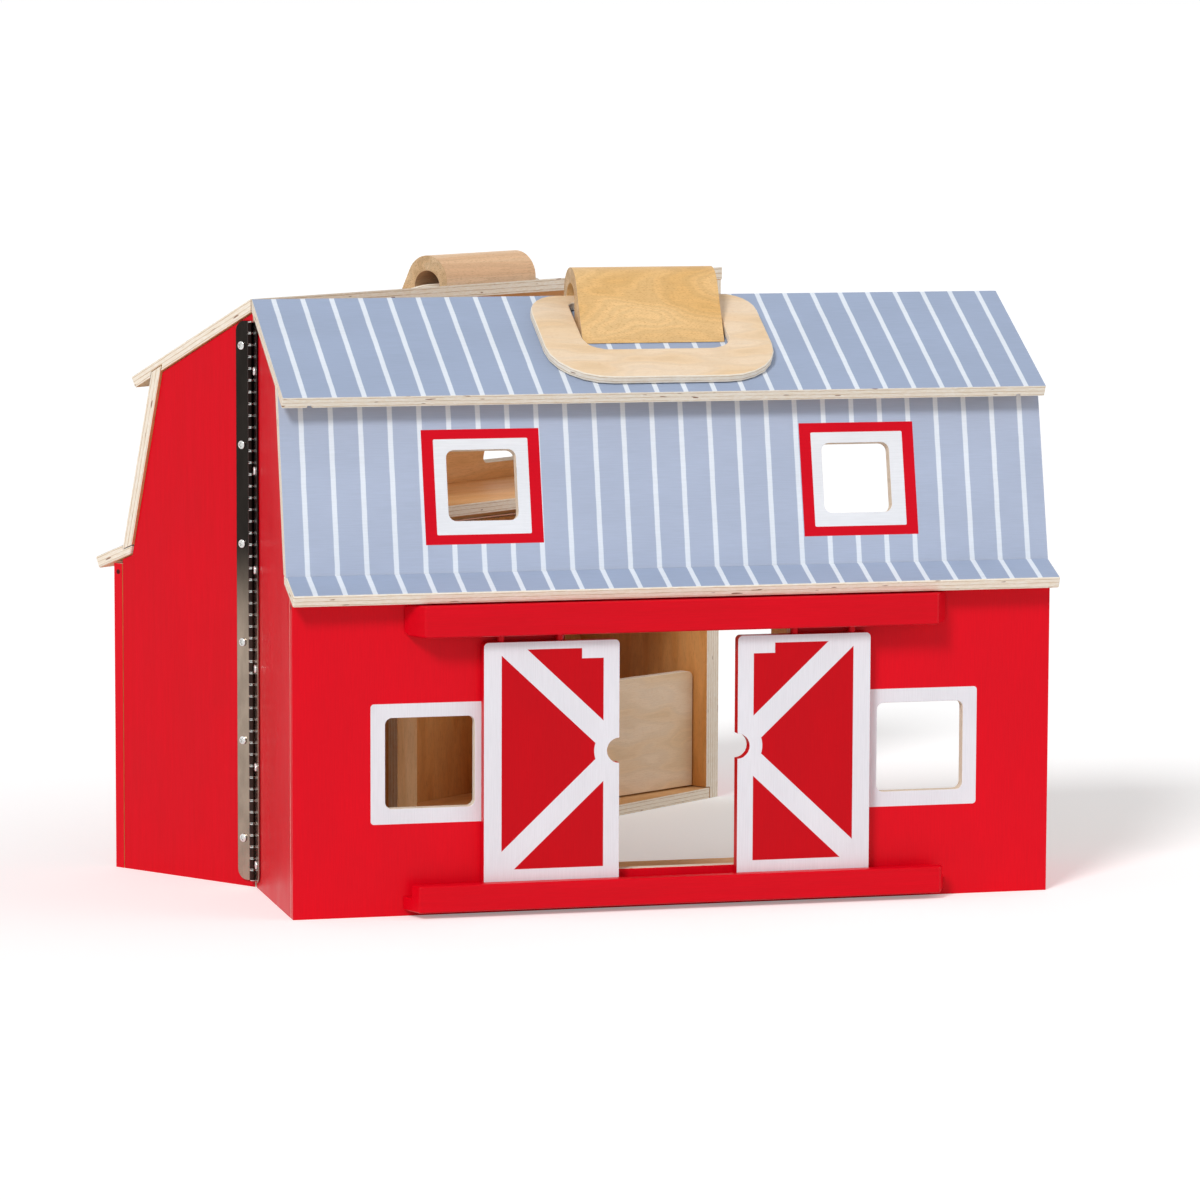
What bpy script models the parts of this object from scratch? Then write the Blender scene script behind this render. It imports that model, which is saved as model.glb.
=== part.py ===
"""Wooden toy barn that opens like a book, with sliding doors, carry rings and a stall gate.

Run it with blender --background --python part.py, or from Blender's text editor.
Metres, +Z up.  The origin is the middle of the front half's underside, +X runs along the
front to the right and +Y into the barn.  Both halves are described in one local frame:
x along the barn, v out from the cut plane towards the half's own wall, z up.
"""
import math

import bmesh
import bpy
from mathutils import Matrix, Vector

mm = 0.001

# Whole body
body_width = 340 * mm
half_depth = 85 * mm
joint_gap = 0.3 * mm
cut_clearance = 0.15 * mm
cutter_overrun = 2 * mm
weld_distance = 0.001 * mm

# Roof line, seen from the end: each board starts where the one below it ends
ridge_setback = 0.5 * mm
crease_height = 147.8 * mm
crease_inset = 7 * mm
flare_reach = 17.5 * mm
flare_drop = 6.8 * mm
steep_lean = math.radians(12.9)
eave_rise = 75.7 * mm
eave_inset = 12.5 * mm
upper_rise = 37.9 * mm
roof_board = 5.3 * mm
steep_board = 5 * mm
flare_board = 5.5 * mm
roof_overhang = 1.3 * mm
roof_groove_depth = 2.3 * mm
flare_rebate_depth = 2 * mm
flare_rounding = 0.5 * mm
kerf_width = 1.9 * mm
kerf_depth = 2 * mm
kerf_length = 6 * mm
kerf_inset = 9.8 * mm

# Walls, gables, floors
wall_board = 5 * mm
gable_board = 9.6 * mm
floor_board = 5.4 * mm
floor_housing = 3 * mm
loft_board = 5.5 * mm
loft_rise = 6.7 * mm
partition_board = 5.5 * mm
front_partition_face = 66.5 * mm
post_width = 14 * mm
post_board = 5.5 * mm
post_inset = 97 * mm

# Openings
door_opening_left = 50.3 * mm
door_opening_right = 50.8 * mm
door_sill = 17 * mm
lintel_cover = 2.3 * mm
low_window_inset = 59.8 * mm
low_window_shift = 0.35 * mm
low_window_height = 66.5 * mm
low_window_size = 39.4 * mm
low_window_radius = 3 * mm
high_window_inset = 85.7 * mm
high_window_shift = 0.9 * mm
high_window_drop = 40.5 * mm
high_window_size = 30.9 * mm
high_window_radius = 3.5 * mm

# Rails on the front
rail_depth = 12 * mm
rail_rounding = 0.6 * mm
header_drop = 3.4 * mm
header_height = 13.8 * mm
header_back_width = 243.5 * mm
header_front_width = 229 * mm
header_shift = 0.25 * mm
header_groove_depth = 5.2 * mm
header_groove_length = 216 * mm
header_end_radius = 4.5 * mm
sill_rail_bottom = 2.7 * mm
sill_rail_height = 11.8 * mm
sill_rail_back_width = 244 * mm
sill_rail_front_width = 234 * mm
sill_rail_bed = 5.8 * mm
slot_front = 6.6 * mm

# Sliding doors
door_board = 5 * mm
door_wall_gap = 1 * mm
door_width = 60.1 * mm
door_head_gap = 3.3 * mm
door_bed_gap = 0.4 * mm
left_door_middle = -57.45 * mm
right_door_middle = 55.7 * mm
door_corner_radius = 2 * mm
notch_radius = 5.5 * mm
notch_height = 70 * mm
door_rounding = 0.4 * mm
pin_radius = 1.6 * mm
pin_rise = 7.6 * mm
pin_depth = 8 * mm
pin_side_gap = 0.5 * mm
pin_near_edge = 8 * mm
pin_spacing = 26 * mm

# Carry handles
front_handle_shift = 1.4 * mm
rear_handle_shift = -3.5 * mm
hood_length = 64.4 * mm
hood_back = 1.9 * mm
hood_radius = 11.9 * mm
hood_centre_rise = 1.3 * mm
hood_toe = 37.2 * mm
hood_toe_left_radius = 4 * mm
hood_toe_right_radius = 1.5 * mm
hood_rounding = 0.5 * mm
channel_radius = 7.5 * mm
channel_centre_drop = 1.2 * mm
ring_board = 4 * mm
ring_width = 103 * mm
ring_top = 6.8 * mm
ring_bottom = 75 * mm
ring_bar = 6.6 * mm
ring_top_radius = 14 * mm
ring_bottom_radius = 26 * mm
ring_hole_side_gap = 1.1 * mm
ring_hole_bottom = 52.2 * mm
ring_hole_top_radius = 2.5 * mm
ring_hole_radius = 10 * mm
ring_rounding = 0.7 * mm
ring_axis_along = 8.4 * mm
ring_axis_rise = 5 * mm

# Long hinge on the left ends
open_angle = math.radians(37.4)
hinge_reach = 1.75 * mm
barrel_radius = 1.45 * mm
barrel_bore = 0.85 * mm
hinge_pin_radius = 0.55 * mm
leaf_thickness = 0.7 * mm
leaf_width = 9.5 * mm
leaf_bottom = 3 * mm
leaf_top_drop = 9.7 * mm
leaf_corner_radius = 5 * mm
leaf_root = 0.5 * mm
knuckle_count = 48
knuckle_gap = 0.3 * mm
screw_depth = 6 * mm
screw_head_radius = 1.9 * mm
screw_head_height = 0.9 * mm
screw_shank_radius = 0.9 * mm
screw_hole_radius = 1.2 * mm
screw_length = 7 * mm
screw_seat_gap = 0.1 * mm
front_screw_drop = 21.6 * mm
front_screw_rise = 8.1 * mm
rear_screw_drop = 11 * mm
rear_screw_rise = 18.7 * mm
screw_count = 6

# Stall behind the swinging gate
stall_height = 63 * mm
stall_width = 80.4 * mm
divider_front = 12 * mm
gate_ajar = math.radians(5.8)
gate_board = 5.5 * mm
gate_tip_gap = 0.4 * mm
gate_heel = 2.75 * mm
gate_depth = 18 * mm
gate_pivot_gap = 4.3 * mm
gate_foot_gap = 0.9 * mm
gate_corner_radius = 3 * mm
gate_rounding = 0.4 * mm
gate_pin_radius = 1.5 * mm
gate_pin_clearance = 0.3 * mm
gate_pin_socket = 3 * mm
bracket_thickness = 1.6 * mm
bracket_width = 8 * mm
bracket_margin = 3.4 * mm

# Facets
corner_steps = 6
arch_steps = 20
round_sides = 12
knuckle_sides = 10

ply_colour = (0.80, 0.66, 0.48, 1)
red_colour = (0.72, 0.01, 0.03, 1)
beech_colour = (0.76, 0.45, 0.19, 1)
blue_colour = (0.36, 0.41, 0.60, 1)
steel_colour = (0.42, 0.42, 0.44, 1)

cut_y = half_depth / 2
half_width = body_width / 2
inner_half_width = half_width - gable_board
crease_depth = half_depth - crease_inset
eave_depth = half_depth - eave_inset
eave_height = crease_height + eave_rise
ridge_height = eave_height + upper_rise
loft_underside = crease_height + loft_rise
hood_centre_height = ridge_height + hood_centre_rise
channel_centre_height = ridge_height - channel_centre_drop
leaf_top = ridge_height - leaf_top_drop
front_screws = (leaf_top - front_screw_drop, leaf_bottom + front_screw_rise)
rear_screws = (leaf_top - rear_screw_drop, leaf_bottom + rear_screw_rise)
low_window_offset = half_width - low_window_inset
high_window_offset = half_width - high_window_inset
post_left_face = post_inset - half_width
divider_left_face = inner_half_width - stall_width
hinge_point = Vector((-half_width - hinge_reach, cut_y, 0))


def clear_scene():
    for item in list(bpy.data.objects):
        bpy.data.objects.remove(item, do_unlink=True)


def make_collection(name):
    group = bpy.data.collections.new(name)
    bpy.context.scene.collection.children.link(group)
    return group


def make_material(name, colour, roughness, metallic):
    surface = bpy.data.materials.new(name)
    surface.use_nodes = True
    shader = surface.node_tree.nodes["Principled BSDF"]
    shader.inputs["Base Color"].default_value = colour
    shader.inputs["Roughness"].default_value = roughness
    shader.inputs["Metallic"].default_value = metallic
    return surface


class Half:
    """One half of the barn: turns local x, v, z into the world."""

    def __init__(self, name, sign, swing, handle_shift):
        self.name = name
        self.sign = sign
        self.handle_shift = handle_shift
        there = Matrix.Translation(hinge_point)
        self.turn = there @ Matrix.Rotation(swing, 4, "Z") @ there.inverted()
        self.holder = None

    def spot(self, x, v, z):
        return self.turn @ Vector((x, cut_y + self.sign * v, z))

    def way(self, x, v, z):
        return self.turn.to_3x3() @ Vector((x, self.sign * v, z))


def plane_at(origin, first, second):
    """Matrix of a drawing plane: its two directions and their normal."""
    first = first.normalized()
    second = second.normalized()
    normal = first.cross(second)
    place = Matrix((first, second, normal)).transposed().to_4x4()
    place.translation = origin
    return place


def adopt(body, holder):
    if holder is None:
        return
    bpy.context.view_layer.update()
    body.parent = holder
    body.matrix_parent_inverse = holder.matrix_world.inverted()


def make_holder(name, location):
    holder = bpy.data.objects.new(name, None)
    holder.location = location
    holder.empty_display_size = hood_radius
    parts.objects.link(holder)
    bpy.context.view_layer.update()
    return holder


def finish_body(body, surface, holder):
    body.data.materials.clear()
    body.data.materials.append(surface)
    adopt(body, holder)
    return body


def hide_cutter(body):
    body.hide_render = True
    body.display_type = "WIRE"


def outline_body(name, outline, holes, thickness, place, group):
    """A flat outline, drawn as a filled 2D curve and given its thickness."""
    curve = bpy.data.curves.new(name + "_outline", "CURVE")
    curve.dimensions = "2D"
    curve.fill_mode = "BOTH"
    curve.extrude = thickness / 2
    for loop in [outline] + list(holes):
        spline = curve.splines.new("POLY")
        spline.points.add(len(loop) - 1)
        for point, (across, up) in zip(spline.points, loop):
            point.co = (across, up, 0, 1)
        spline.use_cyclic_u = True
    drawn = bpy.data.objects.new(name + "_outline", curve)
    group.objects.link(drawn)
    drawn.matrix_world = place
    bpy.context.view_layer.update()
    seen = drawn.evaluated_get(bpy.context.evaluated_depsgraph_get())
    mesh = bpy.data.meshes.new_from_object(seen)
    shape = bmesh.new()
    shape.from_mesh(mesh)
    bmesh.ops.remove_doubles(shape, verts=shape.verts, dist=weld_distance)
    bmesh.ops.recalc_face_normals(shape, faces=shape.faces)
    shape.to_mesh(mesh)
    shape.free()
    body = bpy.data.objects.new(name, mesh)
    body.matrix_world = drawn.matrix_world.copy()
    group.objects.link(body)
    bpy.data.objects.remove(drawn, do_unlink=True)
    return body


def block_body(name, half, low, high, group):
    """A box between two corners given as x, v, z."""
    size = [abs(b - a) for a, b in zip(low, high)]
    middle = [(a + b) / 2 for a, b in zip(low, high)]
    shape = bmesh.new()
    bmesh.ops.create_cube(shape, size=1, matrix=Matrix.Diagonal(size + [1]))
    mesh = bpy.data.meshes.new(name)
    shape.to_mesh(mesh)
    shape.free()
    body = bpy.data.objects.new(name, mesh)
    place = half.turn.to_3x3().to_4x4()
    place.translation = half.spot(*middle)
    body.matrix_world = place
    group.objects.link(body)
    return body


def rod_body(name, radius, start, end, sides, group):
    """A round rod between two world points."""
    along = end - start
    shape = bmesh.new()
    bmesh.ops.create_cone(shape, cap_ends=True, segments=sides, radius1=radius,
                          radius2=radius, depth=along.length)
    mesh = bpy.data.meshes.new(name)
    shape.to_mesh(mesh)
    shape.free()
    body = bpy.data.objects.new(name, mesh)
    place = along.to_track_quat("Z", "Y").to_matrix().to_4x4()
    place.translation = (start + end) / 2
    body.matrix_world = place
    group.objects.link(body)
    mesh.shade_smooth()
    mesh.set_sharp_from_angle(angle=math.radians(40))
    return body


def carve(body, cutter, operation="DIFFERENCE"):
    change = body.modifiers.new(operation.lower(), "BOOLEAN")
    change.operation = operation
    change.solver = "EXACT"
    change.object = cutter
    hide_cutter(cutter)


def round_edges(body, width):
    change = body.modifiers.new("rounding", "BEVEL")
    change.width = width
    change.segments = 1
    change.limit_method = "ANGLE"
    change.angle_limit = math.radians(50)


def rounded_box(left, right, bottom, top, radii):
    """Outline of a box; radii are bottom left, bottom right, top right, top left."""
    quarter = math.pi / 2
    corners = ((left, bottom, 1, 1, 2), (right, bottom, -1, 1, 3),
               (right, top, -1, -1, 0), (left, top, 1, -1, 1))
    points = []
    for (across, up, to_x, to_y, turns), radius in zip(corners, radii):
        centre_x = across + to_x * radius
        centre_y = up + to_y * radius
        for step in range(corner_steps + 1):
            angle = quarter * (turns + step / corner_steps)
            points.append((centre_x + radius * math.cos(angle),
                           centre_y + radius * math.sin(angle)))
    return points


def arc(centre, radius, start, end, steps):
    points = []
    for step in range(steps + 1):
        angle = start + (end - start) * step / steps
        points.append((centre[0] + radius * math.cos(angle),
                       centre[1] + radius * math.sin(angle)))
    return points


class Slope:
    """A straight line of the end view, running out and down from the ridge."""

    def __init__(self, start, end):
        self.start = Vector(start)
        self.along = (Vector(end) - self.start).normalized()
        self.inward = Vector((self.along.y, -self.along.x))

    def shifted(self, distance):
        moved = self.start + self.inward * distance
        return Slope(moved, moved + self.along)

    def meet(self, other):
        gap = other.start - self.start
        turn = self.along.x * other.along.y - self.along.y * other.along.x
        reach = (gap.x * other.along.y - gap.y * other.along.x) / turn
        return tuple(self.start + self.along * reach)

    def at(self, along, rise):
        """Point a distance along the line and a rise outside it."""
        return tuple(self.start + self.along * along - self.inward * rise)


def upright(depth):
    return Slope((depth, 0), (depth, -1))


def level(height):
    return Slope((0, height), (1, height))


upper = Slope((ridge_setback, ridge_height), (eave_depth, eave_height))
crease = Vector((crease_depth, crease_height))
steep_run = Slope(crease, crease + Vector((math.sin(steep_lean), -math.cos(steep_lean))))
steep = Slope(upper.shifted(roof_board).meet(steep_run), crease)
flare_nose = crease + Vector((flare_reach, -flare_drop))
flare = Slope(crease, flare_nose)
steep_inside = steep.shifted(steep_board + joint_gap)
upper_inside = upper.shifted(roof_board + joint_gap)
flare_inside = flare.shifted(flare_board + joint_gap)
wall_inside = half_depth - wall_board
wall_top = flare_inside.meet(upright(half_depth))[1]
header_bottom = wall_top - header_drop - header_height
door_lintel = header_bottom + lintel_cover
door_top = header_bottom - door_head_gap
roof_length = body_width + 2 * roof_overhang


def end_plane(half, x):
    return plane_at(half.spot(x, 0, 0), half.way(0, 1, 0), half.way(0, 0, 1))


def front_plane(half, v):
    return plane_at(half.spot(0, v, 0), half.way(1, 0, 0), half.way(0, 0, 1))


def plan_plane(half, z):
    return plane_at(half.spot(0, half_depth, z), half.way(1, 0, 0), half.way(0, 1, 0))


def slope_plane(half, slope, x, along, rise):
    v, z = slope.at(along, rise)
    drop = slope.along
    return plane_at(half.spot(x, v, z), half.way(1, 0, 0), half.way(0, drop.x, drop.y))


def centred_window(x, up, size, radius):
    reach = size / 2
    return rounded_box(x - reach, x + reach, up - reach, up + reach, [radius] * 4)


def make_wall(half, holes):
    outline = [(-half_width, 0), (half_width, 0), (half_width, wall_top),
               (-half_width, wall_top)]
    place = front_plane(half, half_depth - wall_board / 2)
    body = outline_body(half.name + "_wall", outline, holes, wall_board, place, parts)
    return finish_body(body, red, half.holder)


def make_gable(half, side, label):
    back = wall_inside - joint_gap
    outline = [(cut_clearance, 0), (back, 0), flare_inside.meet(upright(back)),
               flare_inside.meet(steep_inside), steep_inside.meet(upper_inside),
               upper_inside.meet(upright(cut_clearance))]
    place = end_plane(half, side * (half_width - gable_board / 2))
    name = half.name + "_" + label + "_gable"
    body = outline_body(name, outline, [], gable_board, place, parts)
    inner = side * (inner_half_width - cutter_overrun)
    outer = side * (inner_half_width + floor_housing)
    low = (min(inner, outer), -cutter_overrun, -cutter_overrun)
    high = (max(inner, outer), half_depth, floor_board + joint_gap)
    carve(body, block_body(name + "_housing", half, low, high, cutters))
    return finish_body(body, red, half.holder)


def make_upper_roof(half):
    under = upper.shifted(roof_board)
    bed = upper.shifted(roof_board - roof_groove_depth)
    outside = steep.shifted(-joint_gap)
    eave_under = tuple(Vector((eave_depth, eave_height)) + upper.inward * roof_board)
    outline = [upper.at(0, 0), (eave_depth, eave_height), eave_under,
               under.meet(outside), bed.meet(outside), bed.meet(steep_inside),
               under.meet(steep_inside), under.meet(upright(ridge_setback))]
    body = outline_body(half.name + "_upper_roof", outline, [], roof_length,
                        end_plane(half, 0), parts)
    for side, label in ((-1, "left"), (1, "right")):
        middle = side * (half_width - kerf_inset - kerf_width / 2)
        low = (middle - kerf_width / 2, eave_under[0] - kerf_length / 2,
               eave_under[1] - cutter_overrun)
        high = (middle + kerf_width / 2, eave_depth + cutter_overrun,
                eave_under[1] + kerf_depth / 2)
        name = body.name + "_" + label + "_kerf"
        carve(body, block_body(name, half, low, high, cutters))
    return finish_body(body, blue, half.holder)


def make_steep_roof(half):
    top = upper.shifted(roof_board - roof_groove_depth + joint_gap)
    foot = flare.shifted(flare_rebate_depth - joint_gap)
    inside = steep.shifted(steep_board)
    outline = [top.meet(steep), top.meet(inside), foot.meet(inside), foot.meet(steep)]
    body = outline_body(half.name + "_steep_roof", outline, [], roof_length,
                        end_plane(half, 0), parts)
    for side, label in ((-1, "left"), (1, "right")):
        window = centred_window(0, 0, high_window_size, high_window_radius)
        middle = high_window_shift + side * high_window_offset
        place = slope_plane(half, steep, middle, high_window_drop, 0)
        name = body.name + "_" + label + "_window"
        depth = 2 * (steep_board + cutter_overrun)
        carve(body, outline_body(name, window, [], depth, place, cutters))
    return finish_body(body, blue, half.holder)


def make_flare_roof(half):
    bed = flare.shifted(flare_rebate_depth)
    outside = steep.shifted(-joint_gap)
    inside = steep.shifted(steep_board)
    under = flare.shifted(flare_board)
    nose = tuple(flare_nose + flare.inward * flare_board)
    outline = [tuple(flare_nose), flare.meet(outside), bed.meet(outside),
               bed.meet(inside), under.meet(inside), nose]
    body = outline_body(half.name + "_flare_roof", outline, [], roof_length,
                        end_plane(half, 0), parts)
    round_edges(body, flare_rounding)
    return finish_body(body, blue, half.holder)


def make_floor(half):
    reach = inner_half_width + floor_housing - joint_gap
    low = (-reach, cut_clearance, 0)
    high = (reach, wall_inside - joint_gap, floor_board)
    body = block_body(half.name + "_floor", half, low, high, parts)
    return finish_body(body, ply, half.holder)


def make_loft(half):
    reach = inner_half_width - joint_gap
    top = loft_underside + loft_board
    low = (-reach, joint_gap, loft_underside)
    high = (reach, steep_inside.meet(level(top))[0], top)
    body = block_body(half.name + "_loft", half, low, high, parts)
    return finish_body(body, ply, half.holder)


def make_partition(half, name, left, near, height):
    """A cross board from the floor up; a tall one follows the roof line behind it."""
    seat = floor_board + joint_gap
    back = wall_inside - joint_gap
    outline = [(near, seat), (back, seat)]
    if height > flare_inside.meet(upright(back))[1]:
        outline += [flare_inside.meet(upright(back)), flare_inside.meet(steep_inside),
                    steep_inside.meet(level(height))]
    else:
        outline += [(back, height)]
    outline += [(near, height)]
    place = end_plane(half, left + partition_board / 2)
    body = outline_body(name, outline, [], partition_board, place, parts)
    return finish_body(body, ply, half.holder)


def rail_plan(back_width, front_width, shift):
    return [(shift - back_width / 2, joint_gap), (shift + back_width / 2, joint_gap),
            (shift + front_width / 2, rail_depth), (shift - front_width / 2, rail_depth)]


def make_header(half):
    plan = rail_plan(header_back_width, header_front_width, header_shift)
    middle = header_bottom + header_height / 2
    body = outline_body("header_rail", plan, [], header_height, plan_plane(half, middle),
                        parts)
    round_edges(body, rail_rounding)
    reach = header_back_width / 2 + joint_gap
    ends = rounded_box(header_shift - reach, header_shift + reach,
                       header_bottom - joint_gap, header_bottom + header_height + joint_gap,
                       [header_end_radius] * 4)
    depth = 2 * (rail_depth + cutter_overrun)
    shaper = outline_body("header_rail_ends", ends, [], depth,
                          front_plane(half, half_depth), cutters)
    carve(body, shaper, "INTERSECT")
    pin_line = half_depth + door_wall_gap + door_board / 2
    reach = header_groove_length / 2
    side = pin_radius + pin_side_gap
    low = (header_shift - reach, pin_line - side, header_bottom - cutter_overrun)
    high = (header_shift + reach, pin_line + side, header_bottom + header_groove_depth)
    carve(body, block_body("header_groove", half, low, high, cutters))
    return finish_body(body, red, half.holder)


def make_sill_rail(half):
    plan = rail_plan(sill_rail_back_width, sill_rail_front_width, 0)
    middle = sill_rail_bottom + sill_rail_height / 2
    body = outline_body("bottom_rail", plan, [], sill_rail_height, plan_plane(half, middle),
                        parts)
    round_edges(body, rail_rounding)
    reach = sill_rail_back_width / 2 + cutter_overrun
    low = (-reach, half_depth - cutter_overrun, sill_rail_bottom + sill_rail_bed)
    high = (reach, half_depth + slot_front,
            sill_rail_bottom + sill_rail_height + cutter_overrun)
    carve(body, block_body("door_slot", half, low, high, cutters))
    return finish_body(body, red, half.holder)


def make_door(half, label, middle, inner):
    """A sliding door; inner is +1 where its meeting edge is on its right."""
    bottom = sill_rail_bottom + sill_rail_bed + door_bed_gap
    left = middle - door_width / 2
    right = middle + door_width / 2
    loop = rounded_box(left, right, bottom, door_top, [door_corner_radius] * 4)
    edge = right if inner > 0 else left
    split = 2 * (corner_steps + 1) if inner > 0 else len(loop)
    start = -math.pi / 2 if inner > 0 else math.pi / 2
    notch = arc((edge, notch_height), notch_radius, start, start + math.pi * -inner * inner,
                2 * corner_steps)
    loop = loop[:split] + notch + loop[split:]
    name = label + "_door"
    place = front_plane(half, half_depth + door_wall_gap + door_board / 2)
    body = outline_body(name, loop, [], door_board, place, parts)
    round_edges(body, door_rounding)
    holder = make_holder(name + "_slide", half.spot(middle, half_depth + door_wall_gap, bottom))
    outer_x = middle - inner * (door_width / 2 - pin_near_edge)
    spots = ((outer_x, "outer"), (outer_x + inner * pin_spacing, "inner"))
    pin_line = half_depth + door_wall_gap + door_board / 2
    for x, side in spots:
        low = half.spot(x, pin_line, door_top - pin_depth)
        high = half.spot(x, pin_line, door_top + pin_rise)
        pin = rod_body(name + "_" + side + "_pin", pin_radius, low, high, round_sides, parts)
        finish_body(pin, red, holder)
        down = Vector((0, 0, joint_gap))
        up = Vector((0, 0, cutter_overrun))
        bore = rod_body(pin.name + "_bore", pin_radius + joint_gap, low - down, high + up,
                        round_sides, cutters)
        carve(body, bore)
    return finish_body(body, red, holder)


def make_hood(half):
    """The wooden hood over the ring's bar, with an arched channel underneath."""
    seat = upper.shifted(-joint_gap)
    centre = Vector((hood_back + hood_radius, hood_centre_height))
    toe = Vector(seat.meet(upright(hood_toe)))
    away = centre - toe
    lean = math.asin(hood_radius / away.length)
    toward = math.atan2(away.y, away.x) - lean
    touch = math.pi - (math.pi / 2 - toward) - math.pi
    back_foot = seat.meet(upright(hood_back))
    crown = arc(centre, hood_radius, math.pi, touch, arch_steps)
    channel_near = centre.x - channel_radius
    channel_far = centre.x + channel_radius
    roofing = arc((centre.x, channel_centre_height), channel_radius, 0, math.pi, arch_steps)
    outline = [back_foot] + crown + [tuple(toe), seat.meet(upright(channel_far))]
    outline += roofing + [seat.meet(upright(channel_near))]
    body = outline_body(half.name + "_grip_hood", outline, [], hood_length,
                        end_plane(half, half.handle_shift), parts)
    top = hood_centre_height + hood_radius + cutter_overrun
    reach = hood_length / 2 + joint_gap
    front = rounded_box(half.handle_shift - reach, half.handle_shift + reach,
                        toe.y - joint_gap, top,
                        [hood_toe_left_radius, hood_toe_right_radius, hood_rounding,
                         hood_rounding])
    shaper = outline_body(half.name + "_hood_front", front, [], 2 * half_depth,
                          front_plane(half, 0), cutters)
    carve(body, shaper, "INTERSECT")
    return finish_body(body, beech, half.holder)


def make_ring(half):
    """The flat carry ring: its top bar lies in the hood's channel."""
    reach = ring_width / 2
    outline = rounded_box(-reach, reach, ring_top, ring_bottom,
                          [ring_top_radius, ring_top_radius, ring_bottom_radius,
                           ring_bottom_radius])
    inside = hood_length / 2 + ring_hole_side_gap
    hole = rounded_box(-inside, inside, ring_top + ring_bar, ring_hole_bottom,
                       [ring_hole_top_radius, ring_hole_top_radius, ring_hole_radius,
                        ring_hole_radius])
    place = slope_plane(half, upper, half.handle_shift, 0, joint_gap + ring_board / 2)
    body = outline_body(half.name + "_carry_ring", outline, [hole], ring_board, place, parts)
    round_edges(body, ring_rounding)
    v, z = upper.at(ring_axis_along, ring_axis_rise)
    holder = make_holder(half.name + "_ring_pivot", half.spot(half.handle_shift, v, z))
    adopt(holder, half.holder)
    return finish_body(body, ply, holder)


def make_leaf(half, first):
    """A hinge leaf with every second knuckle, from first."""
    name = half.name + "_hinge_leaf"
    axis_x = -half_width - hinge_reach
    height = leaf_top - leaf_bottom
    middle = (leaf_top + leaf_bottom) / 2
    place = plane_at(half.spot(axis_x, 0, middle), half.way(1, 0, 0), half.way(0, 1, 0))
    rim = arc((0, 0), barrel_radius, 0, 2 * math.pi, knuckle_sides)[:-1]
    bore = arc((0, 0), barrel_bore, 0, 2 * math.pi, knuckle_sides)[:-1]
    barrel = outline_body(name + "_barrel", rim, [bore], height, place, cutters)
    flat = rounded_box(leaf_root, leaf_width, leaf_bottom, leaf_top,
                       [0, leaf_corner_radius, leaf_corner_radius, 0])
    flat = [point for at, point in enumerate(flat) if point not in flat[:at]]
    plate_x = -half_width - joint_gap - leaf_thickness / 2
    body = outline_body(name, flat, [], leaf_thickness, end_plane(half, plate_x), parts)
    carve(body, barrel, "UNION")
    pitch = height / knuckle_count
    clear = barrel_radius + knuckle_gap
    shape = bmesh.new()
    size = (2 * clear + joint_gap, 2 * clear, pitch + knuckle_gap)
    for at in range(1 - first, knuckle_count, 2):
        up = leaf_bottom + (at + 1 / 2) * pitch
        spot = Matrix.Translation(half.spot(axis_x + joint_gap / 2, 0, up))
        turn = half.turn.to_3x3().to_4x4()
        bmesh.ops.create_cube(shape, size=1, matrix=spot @ turn @ Matrix.Diagonal(size + (1,)))
    mesh = bpy.data.meshes.new(name + "_gaps")
    shape.to_mesh(mesh)
    shape.free()
    gaps = bpy.data.objects.new(name + "_gaps", mesh)
    cutters.objects.link(gaps)
    carve(body, gaps)
    return finish_body(body, steel, half.holder)


def make_screws(half, leaf, gable, ends):
    """Pan-head screws through the leaf into the gable, evenly spaced between the ends."""
    top, bottom = ends
    face = -half_width - joint_gap - leaf_thickness - screw_seat_gap
    profile = [(0, screw_head_height), (screw_head_radius * 2 / 3, screw_head_height * 5 / 6),
               (screw_head_radius, screw_head_height / 3), (screw_head_radius, 0),
               (screw_shank_radius, 0), (screw_shank_radius, -screw_length), (0, -screw_length)]
    for at in range(screw_count):
        name = "%s_hinge_screw_%d" % (half.name, at + 1)
        mesh = bpy.data.meshes.new(name)
        verts = [(radius, 0, up) for radius, up in profile]
        mesh.from_pydata(verts, [(n, n + 1) for n in range(len(verts) - 1)], [])
        body = bpy.data.objects.new(name, mesh)
        parts.objects.link(body)
        turned = body.modifiers.new("turned", "SCREW")
        turned.axis = "Z"
        turned.angle = 2 * math.pi
        turned.steps = round_sides
        turned.render_steps = round_sides
        turned.use_merge_vertices = True
        turned.merge_threshold = weld_distance
        up = top + (bottom - top) * at / (screw_count - 1)
        outward = half.way(-1, 0, 0)
        place = outward.to_track_quat("Z", "Y").to_matrix().to_4x4()
        place.translation = half.spot(face, screw_depth, up)
        body.matrix_world = place
        finish_body(body, steel, half.holder)
        start = half.spot(face - cutter_overrun, screw_depth, up)
        end = half.spot(face + screw_length + cutter_overrun, screw_depth, up)
        bore = rod_body(name + "_bore", screw_hole_radius, start, end, round_sides, cutters)
        carve(leaf, bore)
        carve(gable, bore)


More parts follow.
